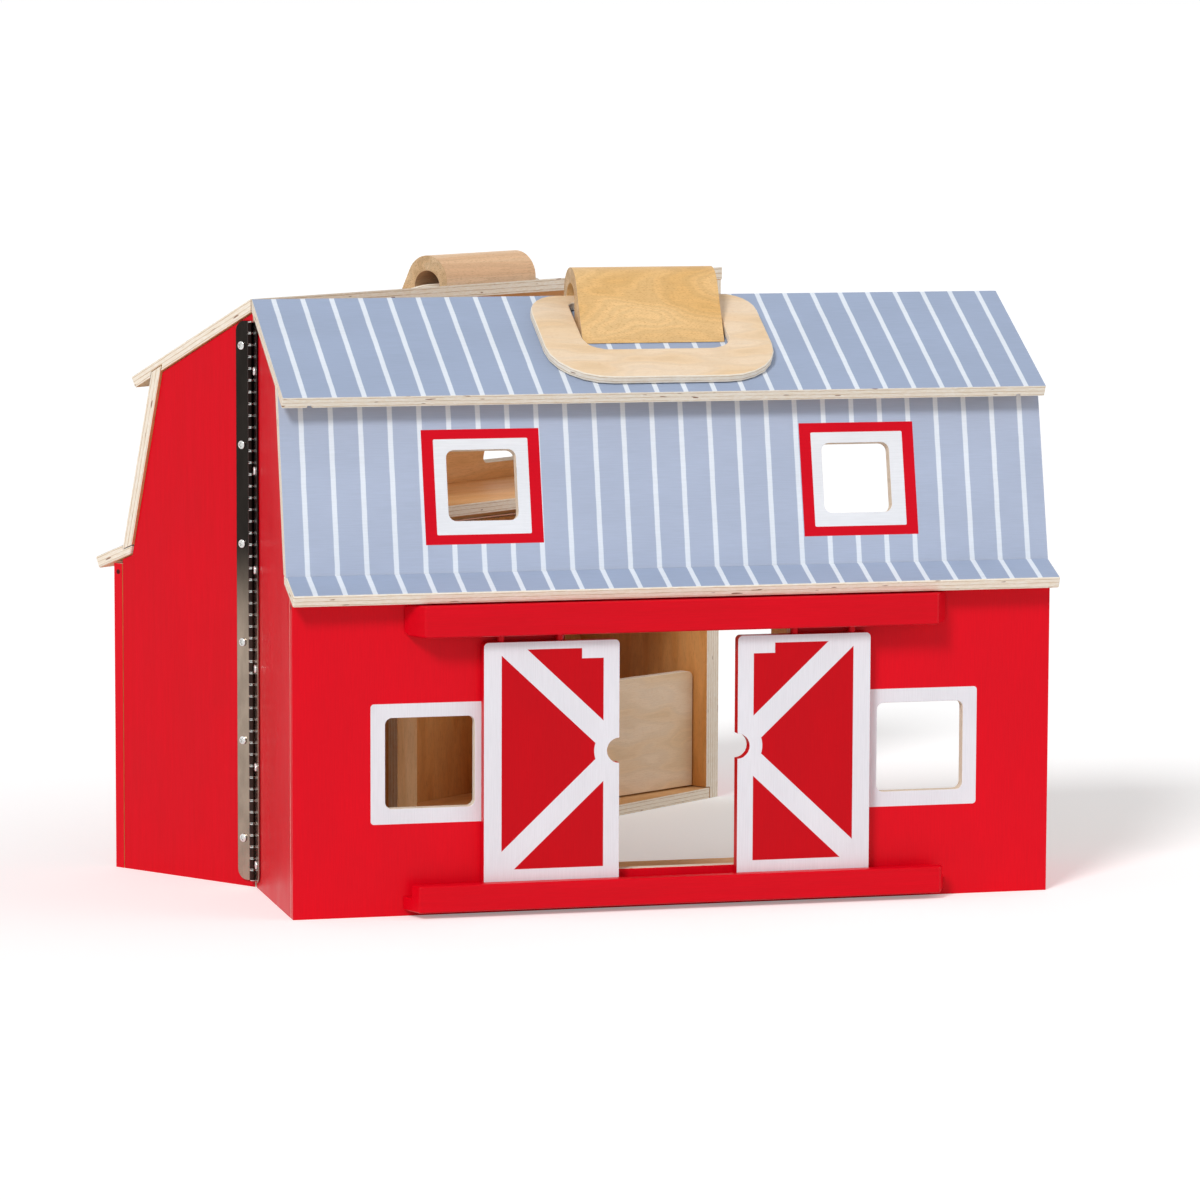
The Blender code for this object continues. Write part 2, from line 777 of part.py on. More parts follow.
def make_stall(half, floor):
    """The low divider and the gate that swings on a pin beside it."""
    make_partition(half, "stall_divider", divider_left_face, divider_front, stall_height)
    pivot_x = divider_left_face + partition_board + gate_pivot_gap
    bottom = floor_board + gate_foot_gap
    gate_length = inner_half_width - gate_tip_gap - pivot_x
    along = Vector((math.cos(gate_ajar), -math.sin(gate_ajar), 0))
    place = plane_at(half.spot(pivot_x, gate_depth, 0), half.way(*along), half.way(0, 0, 1))
    outline = rounded_box(-gate_heel, gate_length, bottom, stall_height,
                          [gate_rounding, gate_rounding, gate_corner_radius,
                           gate_rounding])
    gate = outline_body("stall_gate", outline, [], gate_board, place, parts)
    holder = make_holder("gate_pivot", half.spot(pivot_x, gate_depth, bottom))
    adopt(holder, half.holder)
    bracket_bottom = stall_height + joint_gap
    bracket_top = bracket_bottom + bracket_thickness
    low = half.spot(pivot_x, gate_depth, floor_board - gate_pin_socket + joint_gap)
    high = half.spot(pivot_x, gate_depth, bracket_top)
    pin = rod_body("gate_pin", gate_pin_radius, low, high, round_sides, parts)
    finish_body(pin, steel, half.holder)
    start = half.spot(pivot_x, gate_depth, floor_board - gate_pin_socket)
    end = half.spot(pivot_x, gate_depth, bracket_top + cutter_overrun)
    bore = rod_body("gate_pin_bore", gate_pin_radius + gate_pin_clearance, start, end,
                    round_sides, cutters)
    carve(gate, bore)
    carve(floor, bore)
    corner = (divider_left_face, gate_depth - bracket_width / 2, bracket_bottom)
    far = (pivot_x + bracket_margin, gate_depth + bracket_width / 2, bracket_top)
    bracket = block_body("gate_bracket", half, corner, far, parts)
    carve(bracket, bore)
    finish_body(bracket, steel, half.holder)
    return finish_body(gate, ply, holder)


def make_half(half, wall_holes, first_knuckle, screw_ends):
    make_wall(half, wall_holes)
    left_gable = make_gable(half, -1, "left")
    make_gable(half, 1, "right")
    make_upper_roof(half)
    make_steep_roof(half)
    make_flare_roof(half)
    floor = make_floor(half)
    make_loft(half)
    make_hood(half)
    make_ring(half)
    leaf = make_leaf(half, first_knuckle)
    make_screws(half, leaf, left_gable, screw_ends)
    return floor


clear_scene()
parts = make_collection("toy_barn")
cutters = make_collection("cutters")
ply = make_material("birch_ply", ply_colour, 0.6, 0)
blue = make_material("blue_painted_ply", blue_colour, 0.5, 0)
red = make_material("red_painted_ply", red_colour, 0.5, 0)
beech = make_material("beech", beech_colour, 0.5, 0)
steel = make_material("steel", steel_colour, 0.3, 1)

front = Half("front", -1, 0, front_handle_shift)
rear = Half("rear", 1, open_angle, rear_handle_shift)
rear.holder = make_holder("rear_half_pivot", hinge_point)

low_windows = [centred_window(low_window_shift + side * low_window_offset, low_window_height,
                              low_window_size, low_window_radius) for side in (-1, 1)]
doorway = [(-door_opening_left, door_sill), (door_opening_right, door_sill),
           (door_opening_right, door_lintel), (-door_opening_left, door_lintel)]

make_half(front, low_windows + [doorway], 0, front_screws)
make_header(front)
make_sill_rail(front)
make_door(front, "left", left_door_middle, 1)
make_door(front, "right", right_door_middle, -1)
loft_seat = loft_underside - joint_gap
make_partition(front, "front_left_partition", -front_partition_face - partition_board,
               cut_clearance, loft_seat)
make_partition(front, "front_right_partition", front_partition_face, cut_clearance, loft_seat)
pin_start = Vector((hinge_point.x, hinge_point.y, leaf_bottom))
pin_end = Vector((hinge_point.x, hinge_point.y, leaf_top))
hinge_pin = rod_body("hinge_pin", hinge_pin_radius, pin_start, pin_end, knuckle_sides, parts)
finish_body(hinge_pin, steel, None)

rear_floor = make_half(rear, low_windows, 1, rear_screws)
post_back = cut_clearance + post_board
make_partition(rear, "rear_partition",
               post_left_face + (post_width - partition_board) / 2,
               post_back + joint_gap, loft_seat)
post = block_body("rear_post", rear, (post_left_face, cut_clearance, floor_board + joint_gap),
                  (post_left_face + post_width, post_back, loft_seat), parts)
finish_body(post, ply, rear.holder)
make_stall(rear, rear_floor)
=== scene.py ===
"""Wooden toy barn that opens like a book: its finished look, its light and its camera.

Run it with blender --background --python scene.py.  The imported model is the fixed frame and
every piece takes its place and shape from it.  Metres, +Z up, +X along the front.
"""
import math

import bmesh
import bpy
from bpy.props import FloatProperty, FloatVectorProperty, IntProperty, PointerProperty
from mathutils import Euler, Matrix, Vector


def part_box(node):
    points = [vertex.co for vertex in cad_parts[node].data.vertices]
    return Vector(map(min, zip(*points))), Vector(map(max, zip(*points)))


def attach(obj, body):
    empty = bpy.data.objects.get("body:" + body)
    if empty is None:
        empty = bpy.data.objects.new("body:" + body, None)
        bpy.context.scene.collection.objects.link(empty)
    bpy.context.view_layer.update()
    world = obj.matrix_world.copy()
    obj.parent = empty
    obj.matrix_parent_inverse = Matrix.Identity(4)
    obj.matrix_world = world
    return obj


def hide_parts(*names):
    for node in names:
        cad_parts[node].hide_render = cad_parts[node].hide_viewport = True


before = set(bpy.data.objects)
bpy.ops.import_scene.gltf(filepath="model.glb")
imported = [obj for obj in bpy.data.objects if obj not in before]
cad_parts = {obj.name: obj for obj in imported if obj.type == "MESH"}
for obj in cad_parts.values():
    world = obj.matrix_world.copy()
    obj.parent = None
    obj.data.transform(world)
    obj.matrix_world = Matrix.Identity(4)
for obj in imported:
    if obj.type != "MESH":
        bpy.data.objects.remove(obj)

bl_info = {
    "name": "Toy Barn Finish",
    "version": (1, 0, 0),
    "blender": (4, 5, 0),
    "location": "3D View > Sidebar > Toy Barn",
    "description": "Paint, wood, metal, light and camera for the wooden toy barn",
    "category": "Object",
}

mm = 0.001

# Plan of a half, and the roof's folds as distance out from the cut plane and height
half_width = 170 * mm
half_depth = 85 * mm
cut_y = 42.5 * mm
open_angle = math.radians(37.4)
hinge_point = Vector((-171.75 * mm, cut_y, 0))
ridge = (0.5 * mm, 261.4 * mm)
eave = (72.5 * mm, 223.5 * mm)
steep_head = (60.6 * mm, 223.78 * mm)
crease = (78 * mm, 147.8 * mm)
flare_nose = (95.5 * mm, 141 * mm)

# Doors: outer edge and the way inwards; good faces of the doors, the rings and the gate
door_edges = (("left", -87.5 * mm, 1), ("right", 85.75 * mm, -1))
door_face = 6 * mm
ring_face = 4.3 * mm
gate_lean = math.radians(5.8)
gate_face = 2.75 * mm

# Hinge: the strip's outer face and inner edge; a screw's seat, shank profile and recess
leaf_face = 1.0 * mm
leaf_root = 0.5 * mm
knuckle_chamfer = 0.35 * mm
screw_face = 1.1 * mm
screw_depth = 6 * mm
head_rise = 0.9 * mm
shank = ((0.9 * mm, 0), (0.9 * mm, -6.8 * mm), (0, -7 * mm))
recess = ((2.3 * mm, 0.8 * mm, 1.3 * mm), (0.8 * mm, 2.3 * mm, 1.3 * mm))

# Mesh work, and how far a painted edge fades in millimetres
weld_distance = 0.001 * mm
flat_turn = math.radians(0.3)
bevel_turn = math.radians(28)
sharp_turn = math.radians(35)
round_steps = 24
floor_reach = 60
paint_fade = 0.12
eased = {"interpolation_type": "SMOOTHSTEP"}


class Half:
    """One half of the barn: turns local x, v (out from the cut plane) and z into the world."""

    def __init__(self, name, sign, swing):
        self.name = name
        self.body = name + "_half"
        self.sign = sign
        there = Matrix.Translation(hinge_point)
        self.turn = there @ Matrix.Rotation(swing, 4, "Z") @ there.inverted()

    def spot(self, x, v, z):
        return self.turn @ Vector((x, cut_y + self.sign * v, z))

    def way(self, x, v, z):
        return self.turn.to_3x3() @ Vector((x, self.sign * v, z))

    def board(self, origin, along, across, out):
        """Matrix of a board: where its grain runs, across it, and out of its good face."""
        ways = [self.way(*way).normalized() for way in (along, across, out)]
        place = Matrix(ways).transposed().to_4x4()
        place.translation = self.spot(*origin)
        return place

    def slope(self, start, end):
        """Board of the roof between two points of the end view."""
        down = Vector((end[0] - start[0], end[1] - start[1])).normalized()
        return self.board((0, start[0], start[1]), (1, 0, 0), (0, down.x, down.y),
                          (0, -down.y, down.x))


halves = (Half("front", -1, 0), Half("rear", 1, open_angle))


# Properties

def length(name, meaning, default):
    """A length setting."""
    return FloatProperty(name=name, description=meaning, default=default, unit="LENGTH",
                         precision=5)


def oblong(name, meaning, default):
    """A pair of lengths."""
    return FloatVectorProperty(name=name, description=meaning, default=default, size=2,
                               unit="LENGTH", precision=5)


class PaintSettings(bpy.types.PropertyGroup):
    stripe_pitch: length("Stripe pitch", "Distance between two pale roof stripes", 12.95 * mm)
    stripe_width: length("Stripe width", "Width of a pale roof stripe", 2.2 * mm)
    first_stripe: length("First stripe", "Middle of the leftmost roof stripe", -161.7 * mm)
    low_window_offset: length(
        "Low window offset", "Middle of a wall window from the pair's middle", 110.2 * mm)
    low_window_shift: length(
        "Low window shift", "The wall windows' middle from the barn's middle", 0.35 * mm)
    low_window_height: length(
        "Low window height", "Middle of a wall window above the ground", 66.25 * mm)
    low_frame: oblong(
        "Low frame", "Half width and height of a white wall window frame", (26.1 * mm, 26.1 * mm))
    high_window_offset: length(
        "High window offset", "Middle of a roof window from the pair's middle", 84.7 * mm)
    high_window_shift: length(
        "High window shift", "The roof windows' middle from the barn's middle", 1.3 * mm)
    high_window_drop: length(
        "High window drop", "Middle of a roof window below the board's head", 41.1 * mm)
    high_frame: oblong(
        "High frame", "Half width and height of a white roof window frame", (20.9 * mm, 20.8 * mm))
    high_surround: oblong(
        "High surround", "Half width and height of its red surround", (26.1 * mm, 25 * mm))


class EdgeSettings(bpy.types.PropertyGroup):
    board_edge: length("Board edge", "Rounding along a sawn board's edges", 0.35 * mm)
    handle_edge: length("Handle edge", "Rounding along the hoods' and rings' edges", 0.6 * mm)
    metal_edge: length("Metal edge", "Rounding along sheet metal edges", 0.12 * mm)


class HingeSettings(bpy.types.PropertyGroup):
    barrel_radius: length("Barrel radius", "Outer radius of the rolled knuckles", 1.45 * mm)
    bore_radius: length("Bore radius", "Inner radius of the rolled knuckles", 0.85 * mm)
    knuckles: IntProperty(
        name="Knuckles", description="Knuckles of both leaves together", default=48, min=2)
    knuckle_gap: length("Knuckle gap", "Air between two neighbouring knuckles", 0.3 * mm)
    leaf_thickness: length("Leaf thickness", "Thickness of the steel strip", 0.7 * mm)
    leaf_corner: length("Leaf corner", "Radius of the leaf's outer corners", 5 * mm)
    head_radius: length("Head radius", "Radius of a screw's head", 1.9 * mm)
    screws: IntProperty(
        name="Screws", description="Screws in one leaf", default=6, min=1)


class StageSettings(bpy.types.PropertyGroup):
    key_strength: FloatProperty(
        name="Key strength", description="Strength of the soft key light", default=1.76)
    key_turn: FloatVectorProperty(
        name="Key turn", description="Turn of the key light", subtype="EULER",
        default=(math.radians(50), 0, math.radians(-40)))
    key_softness: FloatProperty(
        name="Key softness", description="Width of the key light as the object sees it",
        default=math.radians(15), subtype="ANGLE")
    fill_strength: FloatProperty(
        name="Fill strength", description="Strength of the wide light into the open barn",
        default=0.95)
    fill_turn: FloatVectorProperty(
        name="Fill turn", description="Turn of the fill light", subtype="EULER",
        default=(math.radians(70), 0, math.radians(84)))
    fill_softness: FloatProperty(
        name="Fill softness", description="Width of the fill light as the object sees it",
        default=math.radians(70), subtype="ANGLE")
    surround: FloatProperty(
        name="Surround", description="Brightness of the white room", default=0.4)
    floor_lift: FloatProperty(
        name="Floor lift", description="Light that the camera sees on the floor beyond the lamps'",
        default=0.25)
    lens: FloatProperty(
        name="Lens", description="Focal length in millimetres", default=160.15)
    camera_place: FloatVectorProperty(
        name="Camera place", description="Where the camera stands", subtype="XYZ",
        unit="LENGTH", default=(-0.5959, -2.2623, 0.4052), precision=4)
    camera_yaw: FloatProperty(
        name="Camera yaw", description="Turn to the right from straight ahead",
        default=0.247605, subtype="ANGLE")
    camera_pitch: FloatProperty(
        name="Camera pitch", description="Tilt down from level", default=0.117512,
        subtype="ANGLE")
    camera_roll: FloatProperty(
        name="Camera roll", description="Turn about the line of sight", default=0.003619,
        subtype="ANGLE")


# Node helpers

def linear(code):
    """Linear colour of a six-figure sRGB hex code."""
    parts = [int(code[at:at + 2], 16) / 255 for at in (1, 3, 5)]
    return [part / 12.92 if part <= 0.04045 else ((part + 0.055) / 1.055) ** 2.4
            for part in parts] + [1.0]


def feed(tree, node, inputs):
    """Give a node its inputs: values, nodes or sockets, in order or by name."""
    if not isinstance(inputs, dict):
        inputs = dict(enumerate(inputs))
    open_inputs = [socket for socket in node.inputs if socket.enabled]
    for key, value in inputs.items():
        if value is None:
            continue
        socket = open_inputs[key] if isinstance(key, int) else node.inputs[key]
        if isinstance(value, bpy.types.Node):
            value = next(each for each in value.outputs if each.enabled)
        if isinstance(value, bpy.types.NodeSocket):
            tree.links.new(value, socket)
        elif isinstance(value, str):
            socket.default_value = linear(value)
        else:
            socket.default_value = value
    return node


def add(tree, kind, inputs=(), **settings):
    """Add a node with its settings and its inputs."""
    made = tree.nodes.new(kind)
    for name, value in settings.items():
        setattr(made, name, value)
    return feed(tree, made, inputs)


def begin(name):
    """A new surface: its node tree, its shader and the piece's own place in millimetres."""
    surface = bpy.data.materials.new(name)
    surface.use_nodes = True
    tree = surface.node_tree
    shader = tree.nodes["Principled BSDF"]
    place = add(tree, "ShaderNodeAttribute", attribute_name="grain")
    point = add(tree, "ShaderNodeVectorMath", (place.outputs["Vector"], (1000, 1000, 1000)),
                operation="MULTIPLY")
    return surface, tree, shader, point


def streaks(tree, point, sizes, detail=3, roughness=0.5, distortion=0.0):
    """Noise stretched to the given millimetre sizes along, across and into the board."""
    held = add(tree, "ShaderNodeVectorMath", (point, [1 / size for size in sizes]),
               operation="MULTIPLY")
    return add(tree, "ShaderNodeTexNoise",
               {"Vector": held, "Scale": 1, "Detail": detail, "Roughness": roughness,
                "Distortion": distortion})


def frame_mask(tree, point, row, height, reach, corner):
    """One inside a pair of rounded oblongs, given in millimetres, side by side in a row."""
    parts = add(tree, "ShaderNodeSeparateXYZ", (point,))
    along = add(tree, "ShaderNodeMath", (parts.outputs[row[0]], row[2]), operation="SUBTRACT")
    aside = add(tree, "ShaderNodeMath", (along,), operation="ABSOLUTE")
    flat = add(tree, "ShaderNodeCombineXYZ", (aside, parts.outputs[height[0]], 0.0))
    moved = add(tree, "ShaderNodeVectorMath", (flat, (row[1], height[1], 0)),
                operation="SUBTRACT")
    away = add(tree, "ShaderNodeVectorMath", (moved,), operation="ABSOLUTE")
    past = add(tree, "ShaderNodeVectorMath", (away, [each / mm - corner for each in reach] + [0]),
               operation="SUBTRACT")
    held = add(tree, "ShaderNodeVectorMath", (past, (0, 0, 0)), operation="MAXIMUM")
    beyond = add(tree, "ShaderNodeVectorMath", (held,), operation="LENGTH")
    return add(tree, "ShaderNodeMapRange",
               (beyond.outputs["Value"], corner - paint_fade, corner + paint_fade, 1, 0),
               **eased)


# Surfaces

def finish_paint(tree, shader, point, colour, gloss):
    """Thin satin paint over ply: the wood's grain telegraphs through as fine raised streaks."""
    fibres = streaks(tree, point, (11, 0.5, 0.5), 2, 0.5)
    clouds = streaks(tree, point, (60, 24, 24), 2, 0.5)
    fine = add(tree, "ShaderNodeMapRange", (fibres, 0.3, 0.7, 0.965, 1.015), **eased)
    broad = add(tree, "ShaderNodeMapRange", (clouds, 0.3, 0.7, 0.97, 1.02), **eased)
    shade = add(tree, "ShaderNodeMath", (fine, broad), operation="MULTIPLY")
    toned = add(tree, "ShaderNodeVectorMath", (colour, shade), operation="MULTIPLY")
    worn = add(tree, "ShaderNodeMapRange", (clouds, 0.3, 0.7, gloss - 0.05, gloss + 0.06),
               **eased)
    raised = add(tree, "ShaderNodeBump", {"Strength": 0.22, "Distance": 0.06 * mm,
                                          "Height": fibres})
    feed(tree, shader, {"Base Color": toned, "Roughness": worn, "Normal": raised,
                        "Specular IOR Level": 0.14})


def red_wall_paint(paint):
    """Satin red wall paint with flat white window frames, faint upright brush marks and the
    painted shade of one nail hole.
    """
    surface, tree, shader, point = begin("red_wall_paint")
    nail_spot, nail_edge, frame_corner = (135, -170, -2.5), (0.9, 1.3), 1.5
    row = (1, paint.low_window_offset / mm, paint.low_window_shift / mm)
    frames = frame_mask(tree, point, row, (0, paint.low_window_height / mm), paint.low_frame,
                        frame_corner)
    colour = add(tree, "ShaderNodeMix", (frames, "#E2031C", "#EAE9EF"), data_type="RGBA")
    # Dark spot at nail_spot: painted shade of a nail hole that has no geometry
    nail = add(tree, "ShaderNodeVectorMath", (point, nail_spot), operation="DISTANCE")
    nail_shade = add(tree, "ShaderNodeMapRange", (nail.outputs["Value"], *nail_edge, 1, 0), **eased)
    colour = add(tree, "ShaderNodeMix", (nail_shade, colour, "#4A0A0C"), data_type="RGBA")
    finish_paint(tree, shader, point, colour, 0.36)
    return surface


def red_plain_paint():
    """The same satin red without windows, on gables and rails."""
    surface, tree, shader, point = begin("red_plain_paint")
    brushed = add(tree, "ShaderNodeMapRange", (streaks(tree, point, (60, 3, 3), 3), 0.35, 0.65),
                  **eased)
    colour = add(tree, "ShaderNodeMix", (brushed, "#D80018", "#DB001A"), data_type="RGBA")
    finish_paint(tree, shader, point, colour, 0.34)
    return surface


def roof_paint(name, paint, blue, windows):
    """Matt grey-blue roof paint with thin pale stripes running down the slope."""
    surface, tree, shader, point = begin(name)
    parts = add(tree, "ShaderNodeSeparateXYZ", (point,))
    pitch = paint.stripe_pitch / mm
    stripe_fade, surround_corner, white_corner = 0.15, 0.3, 0.6
    wobble = streaks(tree, point, (9, 9, 9), 2)
    sway = add(tree, "ShaderNodeMapRange", (wobble, 0, 1, -0.12, 0.12), **eased)
    run = add(tree, "ShaderNodeMath",
              (parts.outputs["X"], pitch / 2 - paint.first_stripe / mm + 40 * pitch),
              operation="ADD")
    swayed = add(tree, "ShaderNodeMath", (run, sway), operation="ADD")
    within = add(tree, "ShaderNodeMath", (swayed, pitch), operation="MODULO")
    aside = add(tree, "ShaderNodeMath", (within, pitch / 2), operation="SUBTRACT")
    away = add(tree, "ShaderNodeMath", (aside,), operation="ABSOLUTE")
    reach = paint.stripe_width / mm / 2
    stripe = add(tree, "ShaderNodeMapRange",
                 (away, reach - stripe_fade, reach + stripe_fade, 1, 0), **eased)
    colour = add(tree, "ShaderNodeMix", (stripe, blue, "#E6EDF7"), data_type="RGBA")
    if windows:
        row = (0, paint.high_window_offset / mm, paint.high_window_shift / mm)
        drop = (1, paint.high_window_drop / mm)
        surround = frame_mask(tree, point, row, drop, paint.high_surround,
                              surround_corner)
        colour = add(tree, "ShaderNodeMix", (surround, colour, "#D6001C"), data_type="RGBA")
        white = frame_mask(tree, point, row, drop, paint.high_frame, white_corner)
        colour = add(tree, "ShaderNodeMix", (white, colour, "#EBEDF2"), data_type="RGBA")
    finish_paint(tree, shader, point, colour, 0.5)
    return surface


def door_paint():
    """White door paint with red fields between a frame and two crossing braces."""
    surface, tree, shader, point = begin("door_paint")
    # Millimetres: lifts count from half way up, the rest from the door's outer edge
    half_way, brace_lean, hub_spot, hub_radius = 61.1, 0.94, (0, 60.1, 0), 11.2
    brace_low, brace_high, outer_bar, inner_bar = 50, 63, 7.8, 53
    top_bar, foot_bar, step_aside, step_lift = 45, -50.5, (43.3, 43.5), (40.45, 40.65)
    parts = add(tree, "ShaderNodeSeparateXYZ", (point,))
    aside = parts.outputs["Y"]
    lift = add(tree, "ShaderNodeMath", (parts.outputs["X"], half_way), operation="SUBTRACT")
    away = add(tree, "ShaderNodeMath", (lift,), operation="ABSOLUTE")
    lean = add(tree, "ShaderNodeMath", (aside, brace_lean, away), operation="MULTIPLY_ADD")
    flat = add(tree, "ShaderNodeCombineXYZ", (lift, aside, 0.0))
    hub = add(tree, "ShaderNodeVectorMath", (flat, hub_spot), operation="DISTANCE")
    checks = {
        "main": [(lean, brace_low, -1), (aside, outer_bar, 1),
                 (hub.outputs["Value"], hub_radius, 1)],
        "corner": [(lean, brace_high, 1), (aside, inner_bar, -1), (lift, top_bar, -1),
                   (lift, foot_bar, 1)],
    }
    colour = "#EAE9EF"
    cut = add(tree, "ShaderNodeMath",
              (add(tree, "ShaderNodeMapRange", (aside, *step_aside), **eased),
               add(tree, "ShaderNodeMapRange", (lift, *step_lift), **eased)),
              operation="MULTIPLY")
    for name, rules in checks.items():
        field = 1.0
        for value, limit, way in rules:
            ends = (0, 1) if way > 0 else (1, 0)
            edge = add(tree, "ShaderNodeMapRange",
                       (value, limit - paint_fade, limit + paint_fade, *ends), **eased)
            field = add(tree, "ShaderNodeMath", (field, edge), operation="MULTIPLY")
        if name == "corner":
            field = add(tree, "ShaderNodeMath", (field, cut), operation="SUBTRACT",
                        use_clamp=True)
        colour = add(tree, "ShaderNodeMix", (field, colour, "#C80012"), data_type="RGBA")
    finish_paint(tree, shader, point, colour, 0.4)
    return surface


def wood(name, tones, figure, rings, pores, gloss):
    """Clear-finished timber: growth rings cut into flames, fine fibres and short pores.

    tones are its pale, dark and pore colours, figure the flames' size in millimetres, rings
    their number and depth, pores their length, width and depth.
    """
    surface, tree, shader, point = begin(name)
    growth = streaks(tree, point, figure, 2, 0.45, 0.25)
    fibres = streaks(tree, point, (16, 0.35, 0.35), 3, 0.6)
    flecks = streaks(tree, point, (pores[0], pores[1], pores[1]), 1, 0.4, 0.6)
    flame = add(tree, "ShaderNodeMapRange", (growth, 0.32, 0.68), **eased)
    toned = add(tree, "ShaderNodeMix", (flame, tones[0], tones[1]), data_type="RGBA")
    turns = add(tree, "ShaderNodeMath", (growth, rings[0] * math.tau), operation="MULTIPLY")
    lines = add(tree, "ShaderNodeMath", (turns,), operation="SINE")
    ringed = add(tree, "ShaderNodeMapRange", (lines, -1, 1, 1 - rings[1], 1 + rings[1]),
                 **eased)
    fine = add(tree, "ShaderNodeMapRange", (fibres, 0.3, 0.7, 0.96, 1.03), **eased)
    shade = add(tree, "ShaderNodeMath", (ringed, fine), operation="MULTIPLY")
    shaded = add(tree, "ShaderNodeVectorMath", (toned, shade), operation="MULTIPLY")
    pitted = add(tree, "ShaderNodeMapRange", (flecks, 0.52, 0.72, 0, pores[2]), **eased)
    colour = add(tree, "ShaderNodeMix", (pitted, shaded, tones[2]), data_type="RGBA")
    raised = add(tree, "ShaderNodeBump", {"Strength": 0.3, "Distance": 0.06 * mm,
                                          "Height": fibres})
    feed(tree, shader, {"Base Color": colour, "Roughness": gloss, "Normal": raised,
                        "Specular IOR Level": 0.3})
    return surface


def ply_edge():
    """Sawn plywood edge: cream layers, thin brown glue lines and end-grain specks."""
    surface, tree, shader, point = begin("birch_ply_edge")
    depth = add(tree, "ShaderNodeSeparateXYZ", (point,)).outputs["Z"]
    wobble = add(tree, "ShaderNodeMapRange",
                 (streaks(tree, point, (14, 14, 3), 2), 0, 1, -0.2, 0.2), **eased)
    layer = add(tree, "ShaderNodeMath",
                (add(tree, "ShaderNodeMath", (depth, wobble), operation="ADD"), 0.9),
                operation="PINGPONG")
    patches = streaks(tree, point, (9, 9, 0.8), 2, 0.5)
    glue = add(tree, "ShaderNodeMapRange", (layer, 0.66, 0.88), **eased)
    broken = add(tree, "ShaderNodeMapRange", (patches, 0.3, 0.62, 0.3, 0.85), **eased)
    line = add(tree, "ShaderNodeMath", (glue, broken), operation="MULTIPLY")
    grain = streaks(tree, point, (2.5, 2.5, 0.4), 4, 0.65)
    sawn = add(tree, "ShaderNodeMapRange", (grain, 0.35, 0.7), **eased)
    pale = add(tree, "ShaderNodeMix", (sawn, "#F0E2CD", "#F9F2E6"), data_type="RGBA")
    lined = add(tree, "ShaderNodeMix", (line, pale, "#BF9E75"), data_type="RGBA")
    flaws = add(tree, "ShaderNodeMapRange",
                (streaks(tree, point, (8, 8, 1.1), 1, 0.3), 0.73, 0.77, 0, 0.85), **eased)
    colour = add(tree, "ShaderNodeMix", (flaws, lined, "#7D4C2C"), data_type="RGBA")
    raised = add(tree, "ShaderNodeBump", {"Strength": 0.5, "Distance": 0.1 * mm,
                                          "Height": grain})
    feed(tree, shader, {"Base Color": colour, "Roughness": 0.75, "Normal": raised,
                        "Specular IOR Level": 0.2})
    return surface


def metal(name, low_tone, high_tone, gloss, streak):
    """Plated steel: mirror-like with faint drawn lines, duller patches and a painted reflection
    along its length, pale card below and dark room above.
    """
    surface, tree, shader, point = begin(name)
    lines = streaks(tree, point, streak, 3, 0.6)
    clouds = streaks(tree, point, (12, 5, 5), 3, 0.5)
    # Heights in millimetres between which the painted reflection turns from pale card below to
    # dark room above
    reflection_pale_below, reflection_dark_above = 104, 156
    along = add(tree, "ShaderNodeSeparateXYZ", (point,)).outputs["X"]
    height = add(tree, "ShaderNodeMapRange", (along, reflection_pale_below, reflection_dark_above), **eased)
    colour = add(tree, "ShaderNodeMix", (height, low_tone, high_tone), data_type="RGBA")
    dull = add(tree, "ShaderNodeMapRange", (clouds, 0.3, 0.7, 0.88, 1.1), **eased)
    toned = add(tree, "ShaderNodeVectorMath", (colour, dull), operation="MULTIPLY")
    drawn = add(tree, "ShaderNodeMapRange", (lines, 0.3, 0.7, gloss, gloss + 0.12), **eased)
    raised = add(tree, "ShaderNodeBump", {"Strength": 0.25, "Distance": 0.02 * mm,
                                          "Height": lines})
    feed(tree, shader, {"Base Color": toned, "Roughness": drawn, "Normal": raised,
                        "Metallic": 1})
    return surface


def seen_rays(tree):
    """One for the rays that show the room: the camera's, mirrored ones and clear ones."""
    path = add(tree, "ShaderNodeLightPath")
    shown = path.outputs["Is Camera Ray"]
    for kind in ("Is Glossy Ray", "Is Transmission Ray"):
        shown = add(tree, "ShaderNodeMath", (shown, path.outputs[kind]), operation="MAXIMUM")
    return shown


def stage_white(lift):
    """White card that keeps the object's shadow and stays white away from it."""
    surface = bpy.data.materials.new("stage_white")
    surface.use_nodes = True
    tree = surface.node_tree
    strength = add(tree, "ShaderNodeMath", (seen_rays(tree), lift), operation="MULTIPLY")
    feed(tree, tree.nodes["Principled BSDF"],
         {"Base Color": "#F6F6F6", "Roughness": 1, "Specular IOR Level": 0,
          "Emission Color": "#FFFFFF", "Emission Strength": strength})
    return surface


